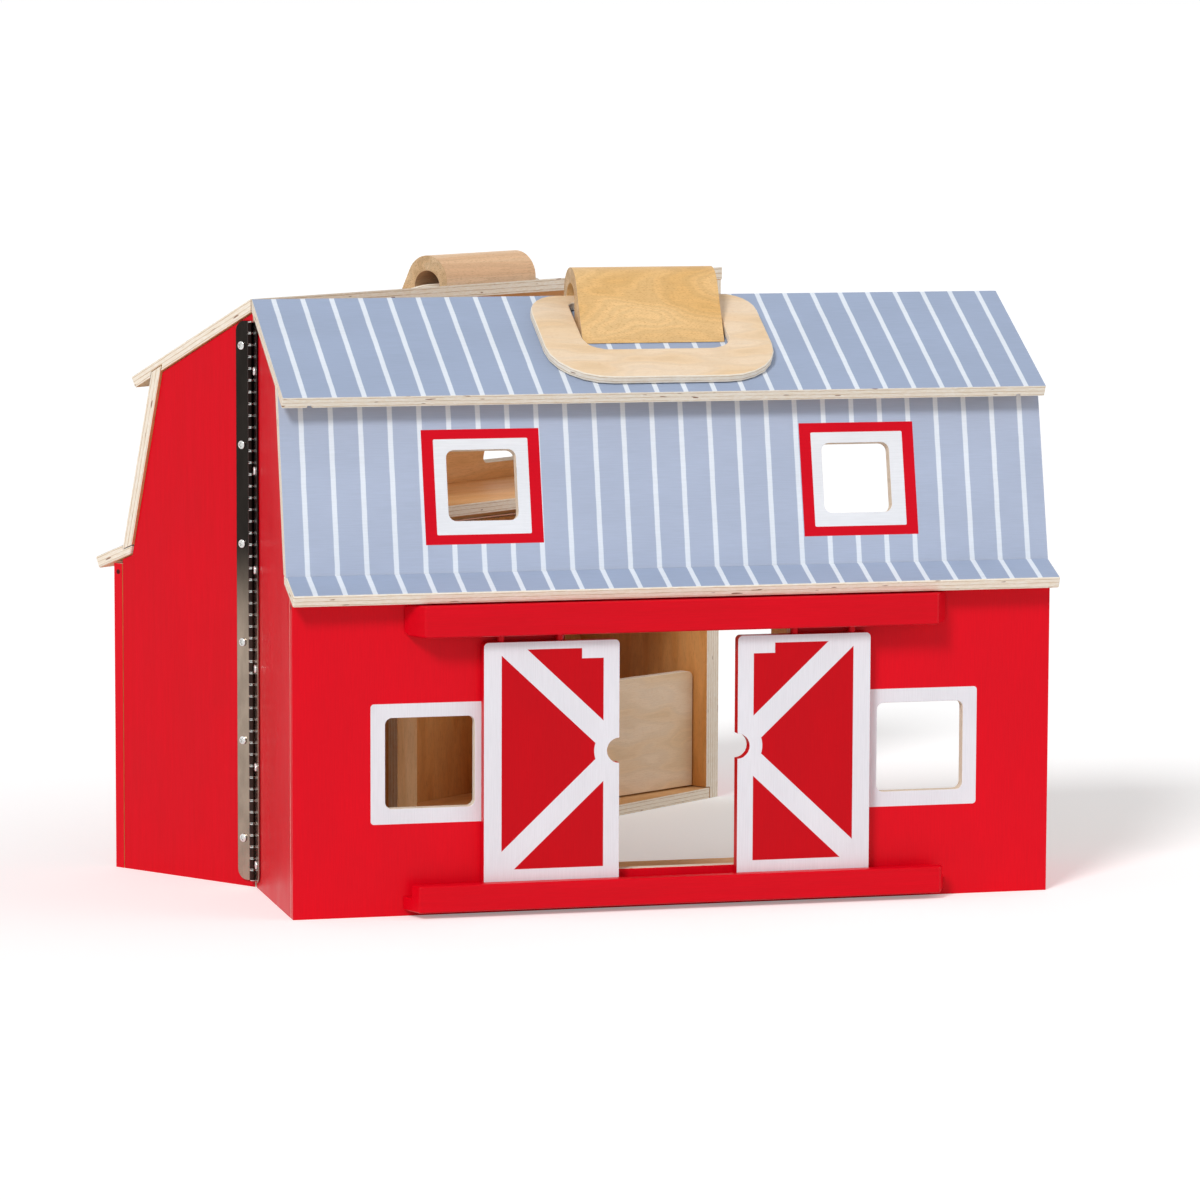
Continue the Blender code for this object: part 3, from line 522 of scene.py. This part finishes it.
def surface_named(name):
    """The surface, made the first time a piece asks for it."""
    known = bpy.data.materials.get(name)
    if known:
        return known
    paint = bpy.context.scene.toy_barn_paint
    makers = {
        # Brushed satin paint on ply: an even strong red, a soft wide sheen and fine raised grain
        "red_wall_paint": lambda: red_wall_paint(paint),
        "red_plain_paint": red_plain_paint,
        # Printed matt paint: grey-blue with crisp pale stripes and hardly any sheen
        "roof_paint": lambda: roof_paint("roof_paint", paint, "#A2B0CA", False),
        # The window board's lighter grey-blue is painted light: the same roof paint, lighter where
        # the steep board takes more light
        "roof_window_paint": lambda: roof_paint("roof_window_paint", paint, "#B1BCD3", True),
        # Two satin coats on hardboard: flat white bars with clean-edged red fields
        "door_paint": door_paint,
        # Unpainted rotary-cut birch: honey-coloured, long soft flames, almost matt
        "bare_birch": lambda: wood("bare_birch", ("#EFC28C", "#E3AD70", "#B87D46"),
                                   (70, 12, 12), (9, 0.03), (3, 0.3, 0.3), 0.55),
        # The same birch painted darker and more amber for the inner faces of walls and gables:
        # painted shade standing in for the barn's shaded inside
        "shade_darkened_birch": lambda: wood("shade_darkened_birch", ("#E2A766", "#D08F4B", "#9E6432"),
                                    (70, 12, 12), (9, 0.03), (3, 0.3, 0.3), 0.55),
        # Sanded birch ply face: creamy and pale, faint figure, a little smoother
        "pale_birch": lambda: wood("pale_birch", ("#F0D9BD", "#EACBA3", "#D9AE7C"),
                                   (44, 13, 13), (8, 0.025), (2, 0.25, 0.3), 0.5),
        # Lacquered flat-sawn beech: golden, with bold wavy flames and dark short pores
        "hood_beech": lambda: wood("hood_beech", ("#ECC58C", "#DDAE6A", "#C08C4C"),
                                   (55, 24, 24), (16, 0.045), (1.1, 0.2, 0.6), 0.4),
        # Lacquered quarter-sawn beech: pinkish tan with straight close lines
        "plain_beech": lambda: wood("plain_beech", ("#EBC7A0", "#DEB389", "#B6885C"),
                                    (90, 5, 5), (8, 0.04), (2, 0.25, 0.5), 0.45),
        # Beech end grain: darker, dull and speckled with open pores
        "end_beech": lambda: wood("end_beech", ("#DFC19A", "#CFAB80", "#A87E50"),
                                  (5, 8, 8), (6, 0.06), (0.4, 0.4, 0.8), 0.6),
        # Sawn ply edge: cream layers between thin brown glue lines, dry and rough
        "birch_ply_edge": ply_edge,
        # Nickel-plated strip: mirror-smooth, with a painted reflection of the dark room above and
        # the pale card below in its colour
        "painted_reflection_nickel": lambda: metal("painted_reflection_nickel", "#A19182", "#2B2724", 0.16, (40, 0.5, 0.5)),
        # The same plating rolled into tubes: nearly black with a warm tint, a painted dark
        # reflection that darkens a little towards the top
        "knuckle_nickel": lambda: metal("knuckle_nickel", "#3A2C28", "#241A18", 0.2,
                                        (40, 0.5, 0.5)),
        # Polished nickel on small heads and edges: clear bright glints
        "bright_nickel": lambda: metal("bright_nickel", "#DCDCDA", "#DCDCDA", 0.12,
                                       (0.6, 0.6, 6)),
    }
    return makers[name]()


# Mesh helpers

def kept_mesh(name, shape):
    """The worked shape as a mesh of that name."""
    mesh = bpy.data.meshes.new(name)
    shape.to_mesh(mesh)
    shape.free()
    return mesh


def placed(name, data):
    """A new object in the scene that shows the data."""
    made = bpy.data.objects.new(name, data)
    bpy.context.scene.collection.objects.link(made)
    return made


def centre(node):
    """Middle of a frame node's box."""
    low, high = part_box(node)
    return (low + high) / 2


def settle(piece):
    """Keep what the piece's modifiers make as its own mesh."""
    bpy.context.view_layer.update()
    seen = piece.evaluated_get(bpy.context.evaluated_depsgraph_get())
    mesh = bpy.data.meshes.new_from_object(seen)
    old = piece.data
    piece.modifiers.clear()
    piece.data = mesh
    bpy.data.meshes.remove(old)
    mesh.name = piece.name
    return piece


def show(name, shape, surfaces, place):
    """Turn a worked mesh into a piece with its grain, its surfaces and even shading."""
    layer = shape.verts.layers.float_vector.new("grain")
    into = place.inverted()
    for vert in shape.verts:
        vert[layer] = into @ vert.co
    mesh = kept_mesh(name, shape)
    for surface in surfaces:
        mesh.materials.append(surface_named(surface))
    piece = placed(name, mesh)
    mesh.shade_smooth()
    mesh.set_sharp_from_angle(angle=sharp_turn)
    weigh = piece.modifiers.new("even shading", "WEIGHTED_NORMAL")
    weigh.keep_sharp = True
    weigh.weight = 100
    return settle(piece)


def hand_over(piece, body, nodes):
    """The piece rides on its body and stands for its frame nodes."""
    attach(piece, body)
    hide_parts(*nodes)


def soften(shape, width):
    """Round every sharp edge."""
    edges = [edge for edge in shape.edges
             if edge.is_manifold and edge.calc_face_angle(0) > bevel_turn]
    bmesh.ops.bevel(shape, geom=edges, offset=width, offset_type="OFFSET", segments=2,
                    profile=0.5, affect="EDGES", clamp_overlap=True)


def worked_copy(node):
    """The frame node's shape as clean flat faces."""
    shape = bmesh.new()
    shape.from_mesh(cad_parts[node].data)
    bmesh.ops.remove_doubles(shape, verts=shape.verts, dist=weld_distance)
    bmesh.ops.dissolve_limit(shape, angle_limit=flat_turn, verts=shape.verts,
                             edges=shape.edges, delimit=set())
    bmesh.ops.recalc_face_normals(shape, faces=shape.faces)
    return shape


def dress(node, body, place, surfaces, width, painted_past=None, turned=False):
    """Copy a board, round its edges and give its good face, back and edges their surfaces.

    Edges beyond painted_past are painted like the good face.  On a turned piece only the
    sawn ends count as edges.
    """
    shape = worked_copy(node)
    soften(shape, width)
    into = place.inverted()
    turn = into.to_3x3()
    for face in shape.faces:
        facing = turn @ face.normal
        face.material_index = 0 if facing.z > 0.75 else 1 if facing.z < -0.75 else 2
        if turned:
            face.material_index = 2 if abs(facing.x) > 0.9 else 0
        if painted_past is not None and face.material_index == 2:
            if abs((into @ face.calc_center_median()).y) > painted_past:
                face.material_index = 0
    hand_over(show("finished_" + node, shape, surfaces, place), body, [node])


# Operators

class TOYBARN_OT_walls(bpy.types.Operator):
    """Paint the long walls and the gables"""
    bl_idname = "toybarn.walls"
    bl_label = "Finish walls"

    def execute(self, context):
        width = context.scene.toy_barn_edges.board_edge
        # Inner faces take the shade-darkened birch: painted shade of the barn's inside
        bare = ("shade_darkened_birch", "birch_ply_edge")
        for half in halves:
            place = half.board((0, half_depth, 0), (0, 0, 1), (1, 0, 0), (0, 1, 0))
            dress(half.name + "_wall", half.body, place,
                  ("red_wall_paint",) + bare, width, half_width - width / 2)
            for side, label in ((-1, "left"), (1, "right")):
                place = half.board((side * half_width, 0, 0), (0, 0, 1), (0, 1, 0), (side, 0, 0))
                dress(half.name + "_" + label + "_gable", half.body, place,
                      ("red_plain_paint",) + bare, width)
        return {"FINISHED"}


class TOYBARN_OT_roofs(bpy.types.Operator):
    """Paint the three roof boards of each half"""
    bl_idname = "toybarn.roofs"
    bl_label = "Finish roofs"

    def execute(self, context):
        width = context.scene.toy_barn_edges.board_edge
        bare = ("bare_birch", "birch_ply_edge")
        for half in halves:
            rows = (("_upper_roof", ridge, eave, "roof_paint"),
                    ("_steep_roof", steep_head, crease, "roof_window_paint"),
                    ("_flare_roof", crease, flare_nose, "roof_paint"))
            for name, start, end, paint in rows:
                dress(half.name + name, half.body,
                      half.slope(start, end), (paint,) + bare, width)
        return {"FINISHED"}


class TOYBARN_OT_floors(bpy.types.Operator):
    """Give floors, lofts, partitions and the stall divider their bare ply"""
    bl_idname = "toybarn.floors"
    bl_label = "Finish floors"

    def execute(self, context):
        width = context.scene.toy_barn_edges.board_edge
        surfaces = ("bare_birch", "bare_birch", "birch_ply_edge")
        for half in halves:
            for name in ("_floor", "_loft"):
                node = half.name + name
                low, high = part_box(node)
                place = half.board((0, 0, high.z), (1, 0, 0), (0, 1, 0), (0, 0, 1))
                dress(node, half.body, place, surfaces, width)
        front, rear = halves
        uprights = (("front_left_partition", front, -72), ("front_right_partition", front, 72),
                    ("rear_partition", rear, -62.75), ("stall_divider", rear, -74.5))
        for node, half, face in uprights:
            place = half.board((face * mm, 0, 0), (0, 0, 1), (0, 1, 0), (1, 0, 0))
            dress(node, half.body, place, surfaces, width)
        place = rear.board((0, 0, 0), (0, 0, 1), (1, 0, 0), (0, -1, 0))
        dress("rear_post", rear.body, place, surfaces, width)
        return {"FINISHED"}


class TOYBARN_OT_rails(bpy.types.Operator):
    """Paint the door header and the bottom rail"""
    bl_idname = "toybarn.rails"
    bl_label = "Finish rails"

    def execute(self, context):
        front = halves[0]
        place = front.board((0, half_depth, 0), (1, 0, 0), (0, 0, 1), (0, 1, 0))
        for node in ("header_rail", "bottom_rail"):
            dress(node, front.body, place, ("red_plain_paint",) * 3,
                  context.scene.toy_barn_edges.board_edge)
        return {"FINISHED"}


class TOYBARN_OT_doors(bpy.types.Operator):
    """Paint the sliding doors and finish their guide pins"""
    bl_idname = "toybarn.doors"
    bl_label = "Finish doors"

    def execute(self, context):
        front = halves[0]
        for label, outer, way in door_edges:
            node = label + "_door"
            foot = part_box(node)[0].z
            place = front.board((outer, half_depth + door_face, foot), (0, 0, 1),
                                (way, 0, 0), (0, 1, 0))
            dress(node, node, place,
                  ("door_paint", "red_plain_paint", "red_plain_paint"),
                  context.scene.toy_barn_edges.board_edge)
            for side in ("outer", "inner"):
                pin = node + "_" + side + "_pin"
                dress(pin, node, Matrix.Translation(centre(pin)),
                      ("red_plain_paint",) * 3, context.scene.toy_barn_edges.board_edge)
        return {"FINISHED"}


class TOYBARN_OT_handles(bpy.types.Operator):
    """Finish the beech hoods and the ply carry rings"""
    bl_idname = "toybarn.handles"
    bl_label = "Finish handles"

    def execute(self, context):
        width = context.scene.toy_barn_edges.handle_edge
        for half, bent in zip(halves, ("hood_beech", "plain_beech")):
            place = half.board((0, 0, ridge[1]), (1, 0, 0), (0, 0, 1), (0, 1, 0))
            dress(half.name + "_grip_hood", half.body, place,
                  (bent, bent, "end_beech"), width, turned=True)
            place = half.slope(ridge, eave)
            place.translation = place @ Vector((0, 0, ring_face))
            dress(half.name + "_carry_ring", half.name + "_ring", place,
                  ("pale_birch", "pale_birch", "birch_ply_edge"), width / 2)
        return {"FINISHED"}


def outer_corners(reach, bottom, top, radius):
    """Rounded outer corners of a leaf, from the bottom up."""
    points, steps = [], 10
    for middle, start in ((bottom + radius, -90), (top - radius, 0)):
        for step in range(steps + 1):
            angle = math.radians(start + 90 * step / steps)
            points.append((reach - radius + radius * math.cos(angle),
                           middle + radius * math.sin(angle)))
    return points


def lathe(profile, steps=round_steps):
    """Turn a profile of radius and height round the vertical axis into a closed shape."""
    shape = bmesh.new()
    verts = [shape.verts.new((radius, 0, up)) for radius, up in profile]
    edges = [shape.edges.new(pair) for pair in zip(verts, verts[1:])]
    if profile[0][0] and profile[-1][0]:
        edges.append(shape.edges.new((verts[-1], verts[0])))
    bmesh.ops.spin(shape, geom=verts + edges, cent=(0, 0, 0), axis=(0, 0, 1),
                   angle=2 * math.pi, steps=steps, use_merge=True, use_duplicate=False)
    bmesh.ops.remove_doubles(shape, verts=shape.verts, dist=weld_distance)
    bmesh.ops.recalc_face_normals(shape, faces=shape.faces)
    return shape


def row_tree():
    """Geometry nodes: repeat the object's own mesh in a straight row, each one turned a little."""
    known = bpy.data.node_groups.get("row_of_copies")
    if known:
        return known
    tree = bpy.data.node_groups.new("row_of_copies", "GeometryNodeTree")
    rows = (("Geometry", "INPUT", "Geometry"), ("Count", "INPUT", "Int"),
            ("Step", "INPUT", "Vector"), ("Turn", "INPUT", "Float"), ("Seed", "INPUT", "Int"),
            ("Surface", "INPUT", "Material"), ("Geometry", "OUTPUT", "Geometry"))
    for name, way, kind in rows:
        tree.interface.new_socket(name, in_out=way, socket_type="NodeSocket" + kind)
    given = add(tree, "NodeGroupInput")
    line = add(tree, "GeometryNodeMeshLine",
               {"Count": given.outputs["Count"], "Offset": given.outputs["Step"]},
               mode="OFFSET")
    turn = add(tree, "FunctionNodeRandomValue",
               (0.0, given.outputs["Turn"], None, given.outputs["Seed"]), data_type="FLOAT")
    about = add(tree, "ShaderNodeCombineXYZ", (0.0, 0.0, turn))
    copies = add(tree, "GeometryNodeInstanceOnPoints",
                 {"Points": line, "Instance": given.outputs["Geometry"], "Rotation": about})
    real = add(tree, "GeometryNodeRealizeInstances", {"Geometry": copies})
    dressed = add(tree, "GeometryNodeSetMaterial",
                  {"Geometry": real, "Material": given.outputs["Surface"]})
    add(tree, "NodeGroupOutput", {"Geometry": dressed})
    return tree


def row_of(name, shape, count, step, turn, seed, surface, place):
    """A mesh of repeated units, set down with the place's directions."""
    unit = placed(name, kept_mesh(name, shape))
    rule = unit.modifiers.new("row", "NODES")
    tree = row_tree()
    rule.node_group = tree
    wanted = {"Count": count, "Step": step, "Turn": turn, "Seed": seed,
              "Surface": surface_named(surface)}
    for item in tree.interface.items_tree:
        if item.in_out == "INPUT" and item.name in wanted:
            rule[item.identifier] = wanted[item.name]
    settle(unit)
    made = bmesh.new()
    made.from_mesh(unit.data)
    bpy.data.objects.remove(unit, do_unlink=True)
    bmesh.ops.transform(made, matrix=place, verts=made.verts)
    return made


class TOYBARN_OT_hinge(bpy.types.Operator):
    """Make the two hinge leaves with their rolled knuckles, and the pin"""
    bl_idname = "toybarn.hinge"
    bl_label = "Finish hinge"

    def execute(self, context):
        hinge = context.scene.toy_barn_hinge
        edge = context.scene.toy_barn_edges.metal_edge
        radius, bore = hinge.barrel_radius, hinge.bore_radius
        low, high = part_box("hinge_pin")
        pitch = (high.z - low.z) / hinge.knuckles
        for first, half in enumerate(halves):
            node = half.name + "_hinge_leaf"
            into = half.turn.inverted()
            reach = max(abs((into @ vert.co).y - cut_y)
                        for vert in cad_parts[node].data.vertices)
            outline = outer_corners(reach, low.z, high.z, hinge.leaf_corner)
            for at in reversed(range(hinge.knuckles)):
                own = at % 2 == first
                inset = leaf_root if own else radius + hinge.knuckle_gap
                gap = hinge.knuckle_gap / 2 if own else -hinge.knuckle_gap / 2
                for end in (low.z + (at + 1) * pitch - gap, low.z + at * pitch + gap):
                    outline.append((inset, min(max(end, low.z), high.z)))
            shape = bmesh.new()
            face_x = -half_width - leaf_face
            verts = [shape.verts.new(half.spot(face_x, v, z)) for v, z in outline]
            face = shape.faces.new(verts)
            grown = bmesh.ops.extrude_face_region(shape, geom=[face])
            moved = [each for each in grown["geom"] if isinstance(each, bmesh.types.BMVert)]
            bmesh.ops.translate(shape, verts=moved,
                                vec=half.way(hinge.leaf_thickness, 0, 0))
            bmesh.ops.recalc_face_normals(shape, faces=shape.faces)
            soften(shape, edge)
            height = pitch - hinge.knuckle_gap
            knuckle = lathe([(bore, 0), (radius - knuckle_chamfer, 0),
                             (radius, knuckle_chamfer), (radius, height - knuckle_chamfer),
                             (radius - knuckle_chamfer, height), (bore, height)])
            start = hinge_point + Vector((0, 0, low.z + first * pitch
                                          + hinge.knuckle_gap / 2))
            row = row_of(half.name + "_knuckles", knuckle, hinge.knuckles // 2,
                         (0, 0, 2 * pitch), 0.0, 1, "painted_reflection_nickel", Matrix.Translation(start))
            # Chamfers at each knuckle's ends take the bright plating against the near-black
            # bodies: painted glints between the knuckles
            for face in row.faces:
                face.material_index = 2 if 0.2 < abs(face.normal.z) < 0.95 else 1
            mesh = kept_mesh("knuckles", row)
            shape.from_mesh(mesh)
            bpy.data.meshes.remove(mesh)
            place = half.board((-half_width, 0, 0), (0, 0, 1), (0, 1, 0), (-1, 0, 0))
            piece = show("finished_" + node, shape,
                         ("painted_reflection_nickel", "knuckle_nickel", "bright_nickel"), place)
            hand_over(piece, half.body, [node])
        wide = (high.x - low.x) / 2
        dome = wide / 2
        pin = lathe([(0, low.z), (wide - dome, low.z), (wide, low.z + dome),
                     (wide, high.z - dome), (wide - dome, high.z), (0, high.z)])
        place = Matrix.Translation((hinge_point.x, hinge_point.y, 0))
        bmesh.ops.transform(pin, matrix=place, verts=pin.verts)
        piece = show("finished_hinge_pin", pin, ("bright_nickel",), place)
        hand_over(piece, "front_half", ["hinge_pin"])
        return {"FINISHED"}


class TOYBARN_OT_screws(bpy.types.Operator):
    """Make the pan-head screws of both leaves with their crossed recess"""
    bl_idname = "toybarn.screws"
    bl_label = "Finish screws"

    def execute(self, context):
        hinge = context.scene.toy_barn_hinge
        head, rim = hinge.head_radius, 0.35
        for seed, half in enumerate(halves):
            names = ["%s_hinge_screw_%d" % (half.name, at + 1) for at in range(hinge.screws)]
            highest = centre(names[0]).z
            step = highest - centre(names[1]).z
            crown = [(head * math.cos(math.radians(angle)) ** 0.5,
                      head_rise * (rim + (1 - rim) * math.sin(math.radians(angle))))
                     for angle in range(0, 90, 10)]
            unit = lathe([(0, head_rise), *crown[::-1], (head, 0), *shank], 32)
            body = placed("screw", kept_mesh("screw", unit))
            cross = bmesh.new()
            for size in recess:
                spot = Matrix.Translation((0, 0, head_rise)) @ Matrix.Diagonal((*size, 1))
                bmesh.ops.create_cube(cross, size=1, matrix=spot)
            cutter = placed("cross", kept_mesh("cross", cross))
            cut = body.modifiers.new("cross", "BOOLEAN")
            cut.operation = "DIFFERENCE"
            cut.solver = "EXACT"
            cut.use_self = True
            cut.object = cutter
            settle(body)
            unit = bmesh.new()
            unit.from_mesh(body.data)
            bpy.data.objects.remove(body, do_unlink=True)
            bpy.data.objects.remove(cutter, do_unlink=True)
            out = half.way(-1, 0, 0)
            up = Vector((0, 0, 1))
            place = Matrix((up.cross(out), up, out)).transposed().to_4x4()
            place.translation = half.spot(-half_width - screw_face, screw_depth, highest)
            row = row_of(half.name + "_screws", unit, hinge.screws, (0, -step, 0), math.pi / 2,
                         seed + 3, "bright_nickel", place)
            piece = show("finished_%s_hinge_screws" % half.name, row, ("bright_nickel",), place)
            hand_over(piece, half.body, names)
        return {"FINISHED"}


class TOYBARN_OT_gate(bpy.types.Operator):
    """Finish the stall gate, its pin and its bracket"""
    bl_idname = "toybarn.gate"
    bl_label = "Finish stall gate"

    def execute(self, context):
        rear = halves[1]
        width = context.scene.toy_barn_edges.board_edge
        run, drop = math.cos(gate_lean), math.sin(gate_lean)
        place = rear.board((0, 0, 0), (run, -drop, 0), (0, 0, 1), (-drop, -run, 0))
        place.translation = centre("gate_pin") + place.to_3x3() @ Vector((0, 0, gate_face))
        dress("stall_gate", "gate", place,
              ("pale_birch", "pale_birch", "birch_ply_edge"), width)
        for node in ("gate_pin", "gate_bracket"):
            dress(node, rear.body, Matrix.Translation(centre(node)),
                  ("bright_nickel",) * 3, context.scene.toy_barn_edges.metal_edge)
        return {"FINISHED"}


class TOYBARN_OT_stage(bpy.types.Operator):
    """Set the white floor, the soft light and the camera"""
    bl_idname = "toybarn.stage"
    bl_label = "Set the stage"

    def execute(self, context):
        stage = context.scene.toy_barn_stage
        shape = bmesh.new()
        bmesh.ops.create_grid(shape, x_segments=1, y_segments=1, size=floor_reach)
        floor = placed("white_floor", kept_mesh("white_floor", shape))
        floor.data.materials.append(stage_white(stage.floor_lift))
        rows = (("soft_key", stage.key_strength, stage.key_softness, stage.key_turn),
                ("wide_fill", stage.fill_strength, stage.fill_softness, stage.fill_turn))
        for name, strength, softness, turn in rows:
            lamp = bpy.data.lights.new(name, "SUN")
            lamp.energy = strength
            lamp.angle = softness
            placed(name, lamp).rotation_euler = Euler(turn)
        world = bpy.data.worlds.new("white_room")
        world.use_nodes = True
        context.scene.world = world
        tree = world.node_tree
        tree.nodes.clear()
        lit = add(tree, "ShaderNodeBackground", ((1, 1, 1, 1), stage.surround))
        white = add(tree, "ShaderNodeBackground", ((1, 1, 1, 1), 1.0))
        both = add(tree, "ShaderNodeMixShader", (seen_rays(tree), lit, white))
        add(tree, "ShaderNodeOutputWorld", {"Surface": both})
        context.scene.camera = self.aimed_camera(stage)
        context.scene.view_settings.view_transform = "Standard"
        return {"FINISHED"}

    def aimed_camera(self, stage):
        """A camera at its place, turned by its yaw, pitch and roll."""
        lens = bpy.data.cameras.new("camera")
        lens.lens = stage.lens
        lens.sensor_width = 36
        lens.clip_start = 0.1
        lens.clip_end = 200
        camera = placed("camera", lens)
        yaw, pitch, roll = stage.camera_yaw, stage.camera_pitch, stage.camera_roll
        ahead = Vector((math.sin(yaw) * math.cos(pitch), math.cos(yaw) * math.cos(pitch),
                        -math.sin(pitch)))
        right = Vector((math.cos(yaw), -math.sin(yaw), 0))
        up = right.cross(ahead)
        tilted = right * math.cos(roll) + up * math.sin(roll)
        upward = up * math.cos(roll) - right * math.sin(roll)
        place = Matrix((tilted, upward, -ahead)).transposed().to_4x4()
        place.translation = stage.camera_place
        camera.matrix_world = place
        return camera


class TOYBARN_PT_finish(bpy.types.Panel):
    """Sidebar panel with every step of the barn's finish"""
    bl_label = "Toy Barn"
    bl_idname = "TOYBARN_PT_finish"
    bl_space_type = "VIEW_3D"
    bl_region_type = "UI"
    bl_category = "Toy Barn"

    def draw(self, context):
        for name in ("toy_barn_paint", "toy_barn_edges", "toy_barn_hinge", "toy_barn_stage"):
            settings = getattr(context.scene, name)
            box = self.layout.box()
            for key in settings.bl_rna.properties.keys():
                if key not in ("rna_type", "name"):
                    box.prop(settings, key)
        for step in operators:
            self.layout.operator(step.bl_idname)


operators = (TOYBARN_OT_walls, TOYBARN_OT_roofs, TOYBARN_OT_floors, TOYBARN_OT_rails,
             TOYBARN_OT_doors, TOYBARN_OT_handles, TOYBARN_OT_hinge, TOYBARN_OT_screws,
             TOYBARN_OT_gate, TOYBARN_OT_stage)
groups = {"toy_barn_paint": PaintSettings, "toy_barn_edges": EdgeSettings,
          "toy_barn_hinge": HingeSettings, "toy_barn_stage": StageSettings}


def register():
    for kind in tuple(groups.values()) + operators + (TOYBARN_PT_finish,):
        bpy.utils.register_class(kind)
    for name, kind in groups.items():
        setattr(bpy.types.Scene, name, PointerProperty(type=kind))


def unregister():
    for name in groups:
        delattr(bpy.types.Scene, name)
    for kind in (TOYBARN_PT_finish,) + operators[::-1] + tuple(groups.values())[::-1]:
        bpy.utils.unregister_class(kind)


def main():
    """Finish every piece in order and set the stage."""
    for name in ("Cube", "Light", "Camera"):
        spare = bpy.data.objects.get(name)
        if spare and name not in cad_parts:
            bpy.data.objects.remove(spare, do_unlink=True)
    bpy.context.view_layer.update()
    register()
    bpy.ops.toybarn.walls()
    bpy.ops.toybarn.roofs()
    bpy.ops.toybarn.floors()
    bpy.ops.toybarn.rails()
    bpy.ops.toybarn.doors()
    bpy.ops.toybarn.handles()
    bpy.ops.toybarn.hinge()
    bpy.ops.toybarn.screws()
    bpy.ops.toybarn.gate()
    bpy.ops.toybarn.stage()


if __name__ == "__main__":
    main()
